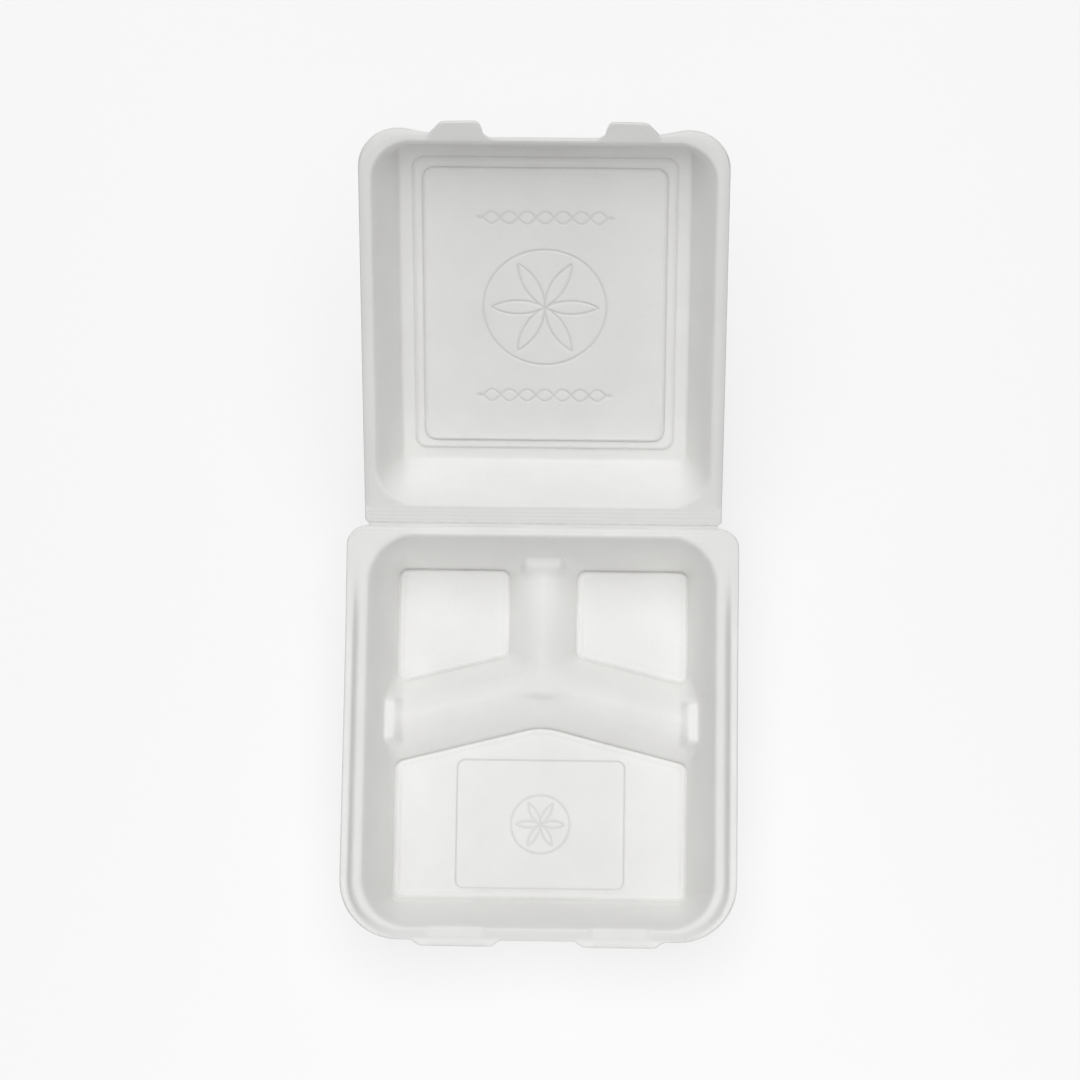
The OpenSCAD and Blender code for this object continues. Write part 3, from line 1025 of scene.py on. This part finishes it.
    def rim(self) -> Loft:
        """The upper walls, the rim, its skirt and its lip.

        Returns:
            The surface, outwards from the top of the dividers.
        """
        fall, turn = self.depth - self.divider, 4
        skirt, lip = self.rim_side - self.lip, self.rim_front - self.lip_front
        bead, edge = self.bead, self.rim_back - WEB_HALF
        bend = (skirt - bead) / 4
        walls = [[-run * fall / self.depth, -run * turn / self.depth, -0.2, 0.4]
                 for run in (self.run_side, self.run_front, self.run_back)]
        side = walls[0] + [1.4, bead - 0.4, bead + bend, skirt - bend, skirt, self.rim_side]
        front = walls[1] + [1.0, bead / 3, bead / 3 + 1, lip - 0.8, lip, self.rim_front]
        back = walls[2] + [1.4, edge - 1.2, edge - 0.9, edge - 0.6, edge - 0.3, edge]
        heights = [-fall, -turn, -1.2, -0.3] + [0] * 6
        drops = [0] * 6 + [0.2, 0.8, 1, 1]
        grow = (self.rim_r - self.floor_r) / self.depth
        wall_r = [self.floor_r + grow * self.divider, self.rim_r - turn * grow] + [self.rim_r] * 3
        out = self.lip_front_r
        front_r = wall_r + [self.rim_r + 1, self.rim_r + 2, out - 2, out - 1, out]
        back_r = wall_r + [19.0, 18.0, self.lip_back_r + 1, self.lip_back_r, self.lip_back_r]
        rings = []
        for s, f, b, z, d, rf, rb in zip(side, front, back, heights, drops, front_r, back_r):
            rings.append(Ring.pushed(self.rim_box, (f, s, b, s), (rf, rf, rb, rb), RIM_Z + z, d))
        return Loft(rings)

    def skirt_fall(self, y: Array) -> Array:
        """How far the skirt falls, a little less along the front.

        Args:
            y: Distances from the crease.

        Returns:
            The falls.
        """
        start, run = self.skirt_front
        front = 1 - self.skirt_ease * smooth((self.in_front + start - y) / run)
        start, run = self.skirt_back
        return self.skirt_drop * smooth((self.in_back - start - y) / run) * front

    def ledge(self, z: Array, along: Array, inward: Array, length: float, run: float) -> Array:
        """Raises a soft stacking ledge where a divider ends at a wall.

        Args:
            z: Heights without the ledge.
            along: Distance along the wall from the ledge's middle.
            inward: Distance from the wall's upper edge.
            length: Length of the ledge's flat top.
            run: Slope run of the wall.

        Returns:
            Heights with the ledge.
        """
        top = self.floor_z + self.divider + self.ledge_rise
        off = inward - (RIM_Z - top) * run / self.depth
        reach = smooth((length / 2 + self.ledge_end - np.abs(along)) / (self.ledge_end + 1))
        face = smooth((self.ledge_out - off) / self.ledge_lean)
        return z + np.maximum(top - self.ledge_dish.at(off) - z, 0) * reach * face

    def raw(self, x: Array, y: Array) -> Array:
        """Heights of the tray's upper side before its edges are rounded.

        Args:
            x: Distances from the middle.
            y: Distances from the crease.

        Returns:
            The heights.
        """
        right = np.abs(x)
        front = self.compartment(self.front_floor, [Face.FRONT, Face.SIDE, Face.ARM, Face.ARM, Face.SIDE],
                                 [False, False, True, True, True], self.front_corners)
        back = self.compartment(self.back_floor, [Face.ARM, Face.SPINE, Face.BACK, Face.SIDE],
                                [True, True, True, False], self.back_corners)
        z = self.rim().height(right, y, self.skirt_fall(y))
        z = np.minimum(z, front.height(right, y, beyond=FAR))
        z = np.minimum(z, back.height(-right, y, beyond=FAR))
        drop = smooth((-self.fork - self.dent_off - y) / self.dent_lean)
        drop = drop * smooth((y + self.fork + self.shift - 1) / self.dent_fade)
        brow = self.brow * bell(y + self.fork + self.brow_off, self.brow_half)
        z = z + (brow - self.dent * drop) * bell(x, self.fork_half)
        z = self.ledge(z, x, self.in_back - y, self.ledge_back, self.run_back)
        middle = -self.fork - self.foot_x * self.slope - self.ledge_shift
        z = self.ledge(z, y - middle, self.in_x - right, self.ledge_side, self.run_side)
        side = np.maximum(np.abs(right - TAB_X) - self.notch_half, 0)
        bank = self.notch_rise / self.notch_lean * side**2 / (side + self.notch_r)
        notch = RIM_Z - self.notch_sink + self.notch_fall * (y - self.in_front) + bank
        return np.where(y < self.in_front + self.notch_back, np.minimum(z, notch), z)

    def relief(self, x: Array, y: Array) -> Array:
        """Score lines, the sunk panel and its emblem, the floors' beads and gutters, a faint unevenness.

        Args:
            x: Distances from the middle.
            y: Distances from the crease.

        Returns:
            Heights against the plain upper side.
        """
        z = np.zeros(x.shape)
        for score in self.scores:
            z -= score.at(y)
        panel = self.panel_edge(x, y)
        sunk = smooth((self.panel_step / 2 - panel) / self.panel_step)
        z -= self.panel_sink * sunk - self.panel_bead.at(panel)
        z += self.emblem.rise * self.emblem.lines(x, y)
        for away, share in self.floor_edges(x, y):
            z += self.floor_bead.at(away) - self.floor_dip.at(away) - share * self.gutter_line.at(away)
        inside = smooth((self.foot_x - np.abs(x)) / self.waves_fade)
        inside = inside * smooth((self.foot_back - 3 - y) / self.waves_fade)
        inside = inside * smooth((y - self.foot_front) / self.waves_fade)
        return z + inside * self.floor_waves.at(x, y)

    def panel_edge(self, x: Array, y: Array) -> Array:
        """Distances from the sunk panel's outline."""
        w, low, high = self.panel_w / 2, self.panel_y - self.panel_l / 2, self.panel_y + self.panel_l / 2
        box = np.array([[-w, low], [w, low], [w, high], [-w, high]])
        return Ring.pushed(box, [0.0] * 4, [self.panel_r] * 4, 0.0).distance(x, y)

    def floor_edges(self, x: Array, y: Array) -> list[tuple[Array, Array]]:
        """The outlines of the front floor and of the two back floors.

        Args:
            x: Distances from the middle.
            y: Distances from the crease.

        Returns:
            For each outline the distances from it and the depth of its gutter line, from 0 to 1: deep along
            the back edges, faint elsewhere. The same share sets how dark the gutter's painted shade is.
        """
        front = Ring.pushed(np.array(self.front_floor), [0.0] * 5, self.front_corners, 0.0)
        back = Ring.pushed(np.array(self.back_floor), [0.0] * 4, self.back_corners, 0.0)
        pairs = []
        for ring, across in ((front, x), (back, -np.abs(x))):
            facing = ring.distance(across, y + 0.5) - ring.distance(across, y - 0.5)
            share = self.gutter_faint + (1 - self.gutter_faint) * smooth(facing + 0.25)
            pairs.append((ring.distance(across, y), share))
        return pairs

    def painted_shade(self, x: Array, y: Array) -> Array:
        """Painted shade in the gutters, along the panel's border and in the emblem's lines, darker along
        the floors' back edges.

        Args:
            x: Distances from the middle.
            y: Distances from the crease.

        Returns:
            Shares from 0 to 1.
        """
        emblem = self.emblem_shade * self.emblem.lines(x, y)
        share = np.maximum(self.panel_shade.at(self.panel_edge(x, y)), emblem)
        # The gutters' painted shade is darkest along the back edges, where shade falls
        for away, depth in self.floor_edges(x, y):
            share = np.maximum(share, depth * self.gutter_shade.at(away))
        return share

    def outline(self) -> tuple[Array, Array]:
        """The lip with its two lugs.

        Returns:
            Its points in anticlockwise order, and the radius of the edge at each of them.
        """
        path = self.rim().rings[-1].path(self.edge_points, self.turn_points)
        away = np.abs(np.abs(path[:, 0]) - TAB_X)
        half, foot = self.lug_w / 2, self.lug_foot / 2
        bump = np.clip((foot - away) / (foot - half), 0, 1)
        path[:, 1] -= np.where(path[:, 1] < 2 - self.length, self.lug_out * bump, 0)
        return path, np.where(path[:, 1] > -1.2, WEB_EDGE_R, EDGE_R)

    def lines(self, coarse: float) -> Array:
        """Points of a grid whose lines follow the dividers.

        Args:
            coarse: How many times wider than the finest its steps are.

        Returns:
            The points inside the upper wall.
        """
        x, away = mirrored_grid(self.across, self.along_from, self.along, coarse)
        y = -away
        start, run = self.lean_back
        end, ease = self.lean_front
        follow = smooth((-start - y) / run) * smooth((y + end) / ease)
        y = y - np.abs(x) * self.slope * follow
        return self.rim().rings[1].within(x, y, GRID_CLEAR * coarse)

    def rim_points(self, outline: Array, every: int) -> Array:
        """Points along the rim, in rows between the upper wall and the edge.

        Args:
            outline: Points of the edge.
            every: Take each point, or only every second or third.

        Returns:
            The points.
        """
        rows = [r.path(self.edge_points, self.turn_points) for r in self.rim().rings[1:]]
        gap = np.linalg.norm(outline - rows[-2], axis=1)[:, None]
        rows[-1] = outline - (outline - rows[-2]) / gap * EDGE_ROW
        return rows_between(rows, every, self.half_width)

    def patches(self) -> list[Patch]:
        """Finer points along the crease, along the sunk panel's border and over the emblem.

        Returns:
            The patches, the uppermost first.
        """
        w, l, y = self.panel_w / 2, self.panel_l / 2, self.panel_y
        corner, border, fine, wide = 4.5, 1.5, 0.25, 1.2
        signs = (-1, 1)
        corners = [(s * w - corner, s * w + corner, y + t * l - corner, y + t * l + corner, 0.3, 0.3)
                   for s in signs for t in signs]
        rails = [(-w, w, y + s * l - border, y + s * l + border, wide, fine) for s in signs]
        posts = [(s * w - border, s * w + border, y - l, y + l, fine, wide) for s in signs]
        return [self.score_patch] + corners + rails + posts + [self.emblem.patch(0.4)]

    def build(self, place: Matrix, skin: bpy.types.Material) -> bpy.types.Object:
        """Builds the tray's sheet and dresses it.

        Args:
            place: Takes the tray's millimetres to the row frame.
            skin: Its finish.

        Returns:
            The tray's object.
        """
        upper = Field.of(self.raw, *self.field_reach).blurred(self.blur)
        table = self.floor_z - self.gutter - SHEET
        piece = self.foam("tray_foam", upper, self.patches(), table).build(place)
        piece.data.materials.append(skin)
        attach(piece, Body.TRAY.value)
        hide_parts("tray")
        return piece


@dataclass
class Lid(Moulding):
    """The lid, lying flat open. Sizes in millimetres, with y from the crease and the inside up."""

    half_width: float = 91.0
    rim: float = 6.5
    back: float = 10.5
    front: float = 204.5
    depth: float = 32.0
    run: float = 12.0
    in_r: float = 22.0
    out_r: float = 20.0
    web_r: float = 2.0
    panel_r: float = 5.0
    step_one: float = 7.2
    step_two: float = 12.2
    step_rise: float = 1.6
    step_half: float = 0.75
    step_bead: Line = Line(0.2, -1.1, 0.5)
    step_grooves: tuple[Line, ...] = (Line(0.4, 0.95, 0.34), Line(0.6, 0.95, 0.34))
    # Painted shade in the frame's step grooves and in the ornament's lines
    step_shades: tuple[Line, ...] = (Line(0.35, 0.95, 0.36), Line(0.55, 0.95, 0.36))
    rosette_shade: float = 0.4
    braid_shade: float = 0.35
    braid_off: float = 48.0
    panel_waves: Waves = Waves(0.06, (0.15, 1.1), 0.19, (0.12, 0.1))
    waves_half: float = 60.0
    waves_ends: Span = (36.0, 178.0)
    waves_fade: float = 8.0
    tab_root: float = 15.0
    tab_tip: float = 10.0
    tab_reach: float = 12.5
    tab_bend: float = 18.0
    tab_start: float = 0.4
    tab_lift: float = 0.06
    tip_r: float = 3.2
    gap_edge: float = 2.4
    shoulder: float = 2.0
    flare_run: float = 3.6
    flare_rise: float = 2.2
    flare_bend: float = 1.4
    side_out: float = 1.8
    side_run: float = 1.9
    side_rise: float = 8.0
    sag: float = 1.2
    sag_fade: Span = (10.0, 40.0)
    sag_side: Span = (76.0, 8.0)
    scores: tuple[Line, ...] = tuple(Line(0.1, off, 0.5) for off in (2.1, 4.1, 6.1, 8.1))
    score_patch: Patch = (-89.5, 89.5, 1.3, 9.4, 1.6, 0.3)
    ornament_step: float = 0.48
    edge_points: tuple[int, ...] = (130, 150, 330, 150)
    turn_points: int = 14
    wall_ring: int = 10
    rim_ring: int = 13
    across: tuple[Span, ...] = ((58.6, 2.0), (59.4, 0.4), (61.9, 0.23), (64.4, 0.6), (66.9, 0.23),
                                (71.5, 0.6), (75, 0.45), (84, 0.9))
    along: tuple[Span, ...] = ((20, 0.9), (24, 0.45), (28.1, 0.6), (30.6, 0.23), (33.1, 0.6), (35.6, 0.23),
                               (36.4, 0.4), (178.6, 2.0), (179.4, 0.4), (181.9, 0.23), (184.4, 0.6),
                               (186.9, 0.23), (191, 0.6), (195, 0.45), (204.5, 0.9))
    field_reach: Reach = (95.0, -3.0, 221.0)
    blur: float = 0.22

    def __post_init__(self) -> None:
        """Works out the rim's inner edge and places the ornament."""
        x = self.half_width - self.rim
        self.rim_box = np.array([[-x, self.back], [x, self.back], [x, self.front], [-x, self.front]])
        middle = (self.back + self.front) / 2
        self.rosette = Rosette(middle, 31.0, 27.0)
        self.braids = [Braid(middle - self.braid_off), Braid(middle + self.braid_off)]

    def surface(self) -> Loft:
        """The lid's inner side.

        Returns:
            The surface, outwards from the panel to the rim's edge.
        """
        grade = self.run / self.depth
        foot, d, r = -self.run, self.depth, self.step_rise
        one, two = foot - self.step_one, foot - self.step_two
        half = self.step_half
        inner = [(two - half, 2 * r - d), (two, 1.5 * r - d), (two + half, r - d),
                 (one - half, r - d), (one, 0.5 * r - d), (one + half, -d),
                 (foot - 0.9, -d), (foot + 0.1, 0.3 - d), (foot + 0.9, 1.4 - d),
                 (foot + 4 * grade, 4 - d), (-4 * grade, -4), (-0.3, -1.2), (0.3, -0.3), (0.9, 0)]
        edge = [(self.rim - 2.8, 0), (self.rim - 2.2, -0.2), (self.rim - 0.4, -0.8), (self.rim, -1.0)]
        reach = self.back - WEB_HALF
        rings = []
        for push, z in inner:
            corner = self.panel_r + max(z + d - 2 * r, 0) / d * (self.in_r - self.panel_r)
            rings.append(Ring.pushed(self.rim_box, [push] * 4, [corner] * 4, RIM_Z + z))
        for k, (push, z) in enumerate(edge):
            near = reach - 1.5 + 0.5 * k
            radii = (self.web_r, self.web_r, self.out_r, self.out_r)
            rings.append(Ring.pushed(self.rim_box, (near, push, push, push), radii, RIM_Z + z))
        return Loft(rings)

    def raw(self, x: Array, y: Array) -> Array:
        """Heights of the lid's inner side before its edges are rounded.

        Args:
            x: Distances from the middle.
            y: Distances from the crease.

        Returns:
            The heights.
        """
        z = self.surface().height(x, y)
        z = np.where(y < self.back - 2, np.maximum(z, RIM_Z), z)
        away = np.abs(np.abs(x) - TAB_X)
        rise = np.maximum(y - self.front - self.tab_start, 0) * math.tan(math.radians(self.tab_bend))
        tab = RIM_Z + self.tab_lift + rise
        share = smooth((self.tab_root + 1.5 - away) / 3) * (y > self.front + 0.5)
        start, run = self.sag_side
        fade = self.sag_fade[0] + self.sag_fade[1] * smooth((np.abs(x) - start) / run)
        sag = np.clip((y - WEB_HALF) / (self.back - WEB_HALF), 0, 1)
        sag = sag * (1 - smooth((y - self.back) / fade))
        return z + (tab - z) * share - self.sag * sag

    def relief(self, x: Array, y: Array) -> Array:
        """Score lines, the ornament, the frame's beads and grooves, and a faint unevenness.

        Args:
            x: Distances from the middle.
            y: Distances from the crease.

        Returns:
            Heights against the plain inner side.
        """
        z = self.rosette.rise * self.rosette.lines(x, y)
        for braid in self.braids:
            z = z + braid.rise * braid.lines(x, y)
        for score in self.scores:
            z = z - score.at(y)
        for away, groove in zip(self.frame_edges(x, y), self.step_grooves):
            z = z + self.step_bead.at(away) - groove.at(away)
        low, high = self.waves_ends
        inside = smooth((self.waves_half - np.abs(x)) / self.waves_fade)
        inside = inside * smooth((y - low) / self.waves_fade) * smooth((high - y) / self.waves_fade)
        return z + inside * self.panel_waves.at(x, y)

    def frame_edges(self, x: Array, y: Array) -> list[Array]:
        """Distances from the outlines of the frame's outer and inner step."""
        rings = [Ring.pushed(self.rim_box, [-self.run - s] * 4, [self.panel_r] * 4, 0.0)
                 for s in (self.step_one, self.step_two)]
        return [ring.distance(x, y) for ring in rings]

    def painted_shade(self, x: Array, y: Array) -> Array:
        """Painted shade in the frame's step grooves and in the ornament's lines.

        Args:
            x: Distances from the middle.
            y: Distances from the crease.

        Returns:
            Shares from 0 to 1.
        """
        share = self.rosette_shade * self.rosette.lines(x, y)
        for braid in self.braids:
            share = np.maximum(share, self.braid_shade * braid.lines(x, y))
        for away, tone in zip(self.frame_edges(x, y), self.step_shades):
            share = np.maximum(share, tone.at(away))
        return share

    def front_edge(self, x: Array) -> Array:
        """How far the front edge reaches: rim, tabs and the gap between them.

        Args:
            x: Distances from the middle.

        Returns:
            Distances from the crease.
        """
        right = np.abs(x)
        away = np.abs(right - TAB_X)
        outer = right > TAB_X
        low = self.front + self.gap_edge
        corner_x = self.half_width - self.out_r
        narrow = smooth((corner_x - right) / (corner_x - TAB_X - self.tab_root))
        edge = np.where(outer, self.front + self.rim - self.shoulder * narrow, low)
        bend = math.cos(math.radians(self.tab_bend))
        tip = self.front + self.tab_start + (self.tab_reach - self.tab_start) * bend
        root = np.clip((self.tab_root - away) / self.flare_run, 0, 1)
        flare = low + root**self.flare_bend * self.flare_rise
        side = low + (self.tab_tip + self.side_out - away) / self.side_run * self.side_rise
        corner = np.clip(away - self.tab_tip + self.tip_r, 0, self.tip_r)
        top = tip - self.tip_r + np.sqrt(np.maximum(self.tip_r**2 - corner**2, 0))
        near = away < self.tab_tip + self.side_out
        inner = np.where(near, np.minimum(np.maximum(side, flare), top), flare)
        lean = edge + (tip - edge) * (self.tab_root - away) / (self.tab_root - self.tab_tip + 0.4)
        tab = np.where(outer, 0.5 * (lean + tip - np.hypot(lean - tip, 2.0)), inner)
        return np.where(away < self.tab_root, np.maximum(tab, edge), edge)

    def outline(self) -> tuple[Array, Array]:
        """The rim's edge with the tabs.

        Returns:
            Its points in anticlockwise order, and the radius of the edge at each of them.
        """
        path = self.surface().rings[-1].path(self.edge_points, self.turn_points)
        ahead = path[:, 1] > self.front + self.rim - 0.01
        path[:, 1] = np.where(ahead, self.front_edge(path[:, 0]), path[:, 1])
        return path, np.where(path[:, 1] < 1.0, WEB_EDGE_R, EDGE_R)

    def lines(self, coarse: float) -> Array:
        """Points of a grid whose lines follow the panel's frame, inside the upper wall."""
        x, y = mirrored_grid(self.across, self.back, self.along, coarse)
        return self.surface().rings[self.wall_ring].within(x, y, GRID_CLEAR * coarse)

    def rim_points(self, outline: Array, every: int) -> Array:
        """Points along the rim, in rows between the upper wall and the edge.

        Args:
            outline: Points of the edge.
            every: Take each point, or only every second or third.

        Returns:
            The points.
        """
        rings = self.surface().rings[self.wall_ring:self.rim_ring + 1]
        rows = [r.path(self.edge_points, self.turn_points) for r in rings]
        gap = np.linalg.norm(outline - rows[-1], axis=1)[:, None]
        rows.append(outline - (outline - rows[-1]) / gap * np.minimum(EDGE_ROW, 0.6 * gap))
        return rows_between(rows, every, self.half_width)

    def build(self, place: Matrix, skin: bpy.types.Material) -> bpy.types.Object:
        """Builds the lid's sheet and dresses it.

        Args:
            place: Takes the lid's millimetres to the row frame.
            skin: Its finish.

        Returns:
            The lid's object.
        """
        upper = Field.of(self.raw, *self.field_reach).blurred(self.blur)
        ornaments = [form.patch(self.ornament_step) for form in (self.rosette, *self.braids)]
        piece = self.foam("lid_foam", upper, ornaments + [self.score_patch]).build(place)
        piece.data.materials.append(skin)
        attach(piece, Body.LID.value)
        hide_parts("lid")
        return piece


@dataclass
class HingeWeb:
    """The crushed strip in the crease, bent to the lid's angle. Sizes in millimetres."""

    half_length: float = 89.0
    half_width: float = WEB_HALF
    thickness: float = 0.6
    top: float = RIM_Z
    raise_deg: float = RAISED_DEG
    rows: int = 9
    sections: int = 90

    def build(self, place: Matrix, crushed: bpy.types.Material) -> bpy.types.Object:
        """Builds the strip, bent once to the lid's raised angle.

        Args:
            place: Takes the strip's millimetres to the row frame.
            crushed: Its finish.

        Returns:
            The strip's object.
        """
        angles = np.radians(self.raise_deg) * smooth(np.linspace(0, 1, self.rows))
        along = np.linspace(-self.half_width, self.half_width, self.rows)
        section = []
        for z in (self.top, self.top - self.thickness):
            run = along * np.cos(angles) - z * np.sin(angles)
            rise = along * np.sin(angles) + z * np.cos(angles)
            points = np.stack([run, rise], 1)
            section.append(points if z == self.top else points[::-1])
        loop = np.vstack(section)
        xs = np.linspace(-self.half_length, self.half_length, self.sections)
        n = len(loop)
        vertices = np.array([(x, y, z) for x in xs for y, z in loop])
        faces = []
        for i in range(len(xs) - 1):
            for j in range(n):
                a, b = i * n + j, i * n + (j + 1) % n
                faces += [(a, b, b + n), (a, b + n, a + n)]
        last = (len(xs) - 1) * n
        for j in range(1, n - 1):
            faces += [(0, j + 1, j), (last, last + j, last + j + 1)]
        piece = mesh_object("hinge_web_foam", vertices, np.array(faces)[:, ::-1], place)
        piece.data.materials.append(crushed)
        y, z = place.translation.y, place.translation.z
        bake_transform(piece)
        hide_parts("hinge_web")
        return piece


@dataclass(frozen=True)
class FloorFinish:
    """A pale matte floor with a barely visible grain, nearly white to the camera and still shadowed."""

    name: str = "studio_floor"
    pale: Colour = (0.955, 0.955, 0.955)
    paler: Colour = (0.97, 0.97, 0.97)
    grain: float = 40.0
    rough: float = 0.9
    lustre: float = 0.1
    white: float = 0.72

    def build(self) -> bpy.types.Material:
        """Makes the material's nodes.

        Returns:
            The material.
        """
        kit = NodeKit.named(self.name)
        nodes = kit.material.node_tree.nodes
        noise = kit.add("ShaderNodeTexNoise", Scale=self.grain)
        tint = kit.ramp(noise.outputs["Fac"], (0.0, 1.0), (self.pale, self.paler))
        matt = kit.feed(nodes["Principled BSDF"], {"Base Color": tint, "Roughness": self.rough,
                                                   "Specular IOR Level": self.lustre})
        rays = kit.add("ShaderNodeLightPath").outputs
        seen = rays["Is Camera Ray"]
        for other in ("Is Glossy Ray", "Is Transmission Ray"):
            seen = kit.result("MAXIMUM", seen, rays[other])
        glow = kit.add("ShaderNodeEmission").outputs["Emission"]
        both = kit.add("ShaderNodeMixShader", Fac=kit.result("MULTIPLY", seen, self.white))
        kit.feed(both, {1: matt.outputs["BSDF"], 2: glow})
        kit.feed(nodes["Material Output"], {"Surface": both.outputs["Shader"]})
        return kit.material


@dataclass(frozen=True)
class Lamp:
    """A soft round lamp."""

    name: str
    watts: float
    size: float
    place: Place

    def build(self, aim: Vector) -> None:
        """Hangs the lamp.

        Args:
            aim: The place that it points at.
        """
        light = bpy.data.lights.new(self.name, "AREA")
        light.energy = self.watts
        light.shape = "DISK"
        light.size = self.size
        lamp = bpy.data.objects.new(self.name, light)
        lamp.visible_camera = False
        bpy.context.scene.collection.objects.link(lamp)
        lamp.location = self.place
        lamp.rotation_euler = (aim - Vector(self.place)).to_track_quat("-Z", "Y").to_euler()


@dataclass
class Studio:
    """Floor, soft light and the camera at the photograph's place, in metres but for the floor."""

    floor_half_mm: float = 6000.0
    floor_z_mm: float = -0.1
    sky: float = 0.12
    lamps: tuple[Lamp, ...] = (Lamp("key", 47.0, 3.0, (-0.05, 0.6, 2.3)),
                               Lamp("fill", 1.2, 0.6, (0.05, -0.55, 0.42)))
    lamps_aim: Place = (0.0, 0.05, 0.03)
    camera_at: Place = (0.034, -0.2423, 1.8444)
    camera_deg: Place = (-10.46, -1.11, -0.65)
    lens_mm: float = 119.73
    sensor_mm: float = 36.0

    def floor(self) -> None:
        """Lays the floor."""
        h, z = self.floor_half_mm, self.floor_z_mm
        corners = np.array([(-h, -h, z), (h, -h, z), (h, h, z), (-h, h, z)])
        plane = mesh_object("floor", corners, np.array([[0, 1, 2, 3]]), Matrix.Scale(MM, 4))
        plane.data.materials.append(FloorFinish().build())

    def light(self) -> None:
        """Sets an even sky, a broad soft lamp overhead and a weak one in front."""
        world = bpy.data.worlds.new("studio_sky")
        bpy.context.scene.world = world
        world.use_nodes = True
        sky = world.node_tree.nodes["Background"]
        sky.inputs["Color"].default_value = (1.0, 1.0, 1.0, 1.0)
        sky.inputs["Strength"].default_value = self.sky
        for lamp in self.lamps:
            lamp.build(Vector(self.lamps_aim))

    def camera(self) -> None:
        """Places the camera."""
        lens = bpy.data.cameras.new("camera")
        lens.lens = self.lens_mm
        lens.sensor_width = self.sensor_mm
        eye = bpy.data.objects.new("camera", lens)
        bpy.context.scene.collection.objects.link(eye)
        rx, ry, rz = (math.radians(a) for a in self.camera_deg)
        turn = Matrix.Rotation(rz, 4, "Z") @ Matrix.Rotation(ry, 4, "Y") @ Matrix.Rotation(rx, 4, "X")
        eye.matrix_world = Matrix.Translation(self.camera_at) @ turn.transposed()
        bpy.context.scene.camera = eye

    def build(self) -> None:
        """Places the camera, lays the floor and lights it."""
        self.camera()
        self.floor()
        self.light()
        bpy.context.scene.view_settings.view_transform = "Standard"


def main() -> None:
    """Builds the studio and the container's pieces in order."""
    logging.basicConfig(level=logging.INFO, format="%(name)s: %(message)s")
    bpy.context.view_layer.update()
    crease = Vector(frame["joints"][0]["pos_m"])
    scale = Matrix.Scale(MM, 4)
    flat = Matrix.Translation(crease) @ scale
    raised = Matrix.Translation(crease) @ Matrix.Rotation(math.radians(RAISED_DEG), 4, "X") @ scale
    Studio().build()
    skin = FoamFinish("foam_skin_white", (0.92, 0.92, 0.905), (0.875, 0.87, 0.858)).build()
    crushed = FoamFinish("foam_crushed_white", (0.91, 0.91, 0.895),
                         (0.86, 0.855, 0.845), cell_mm=0.5).build()
    for piece in (Tray().build(flat, skin), Lid().build(raised, skin), HingeWeb().build(flat, crushed)):
        LOG.info("%s: %d triangles", piece.name, sum(len(p.vertices) - 2 for p in piece.data.polygons))


if __name__ == "__main__":
    main()
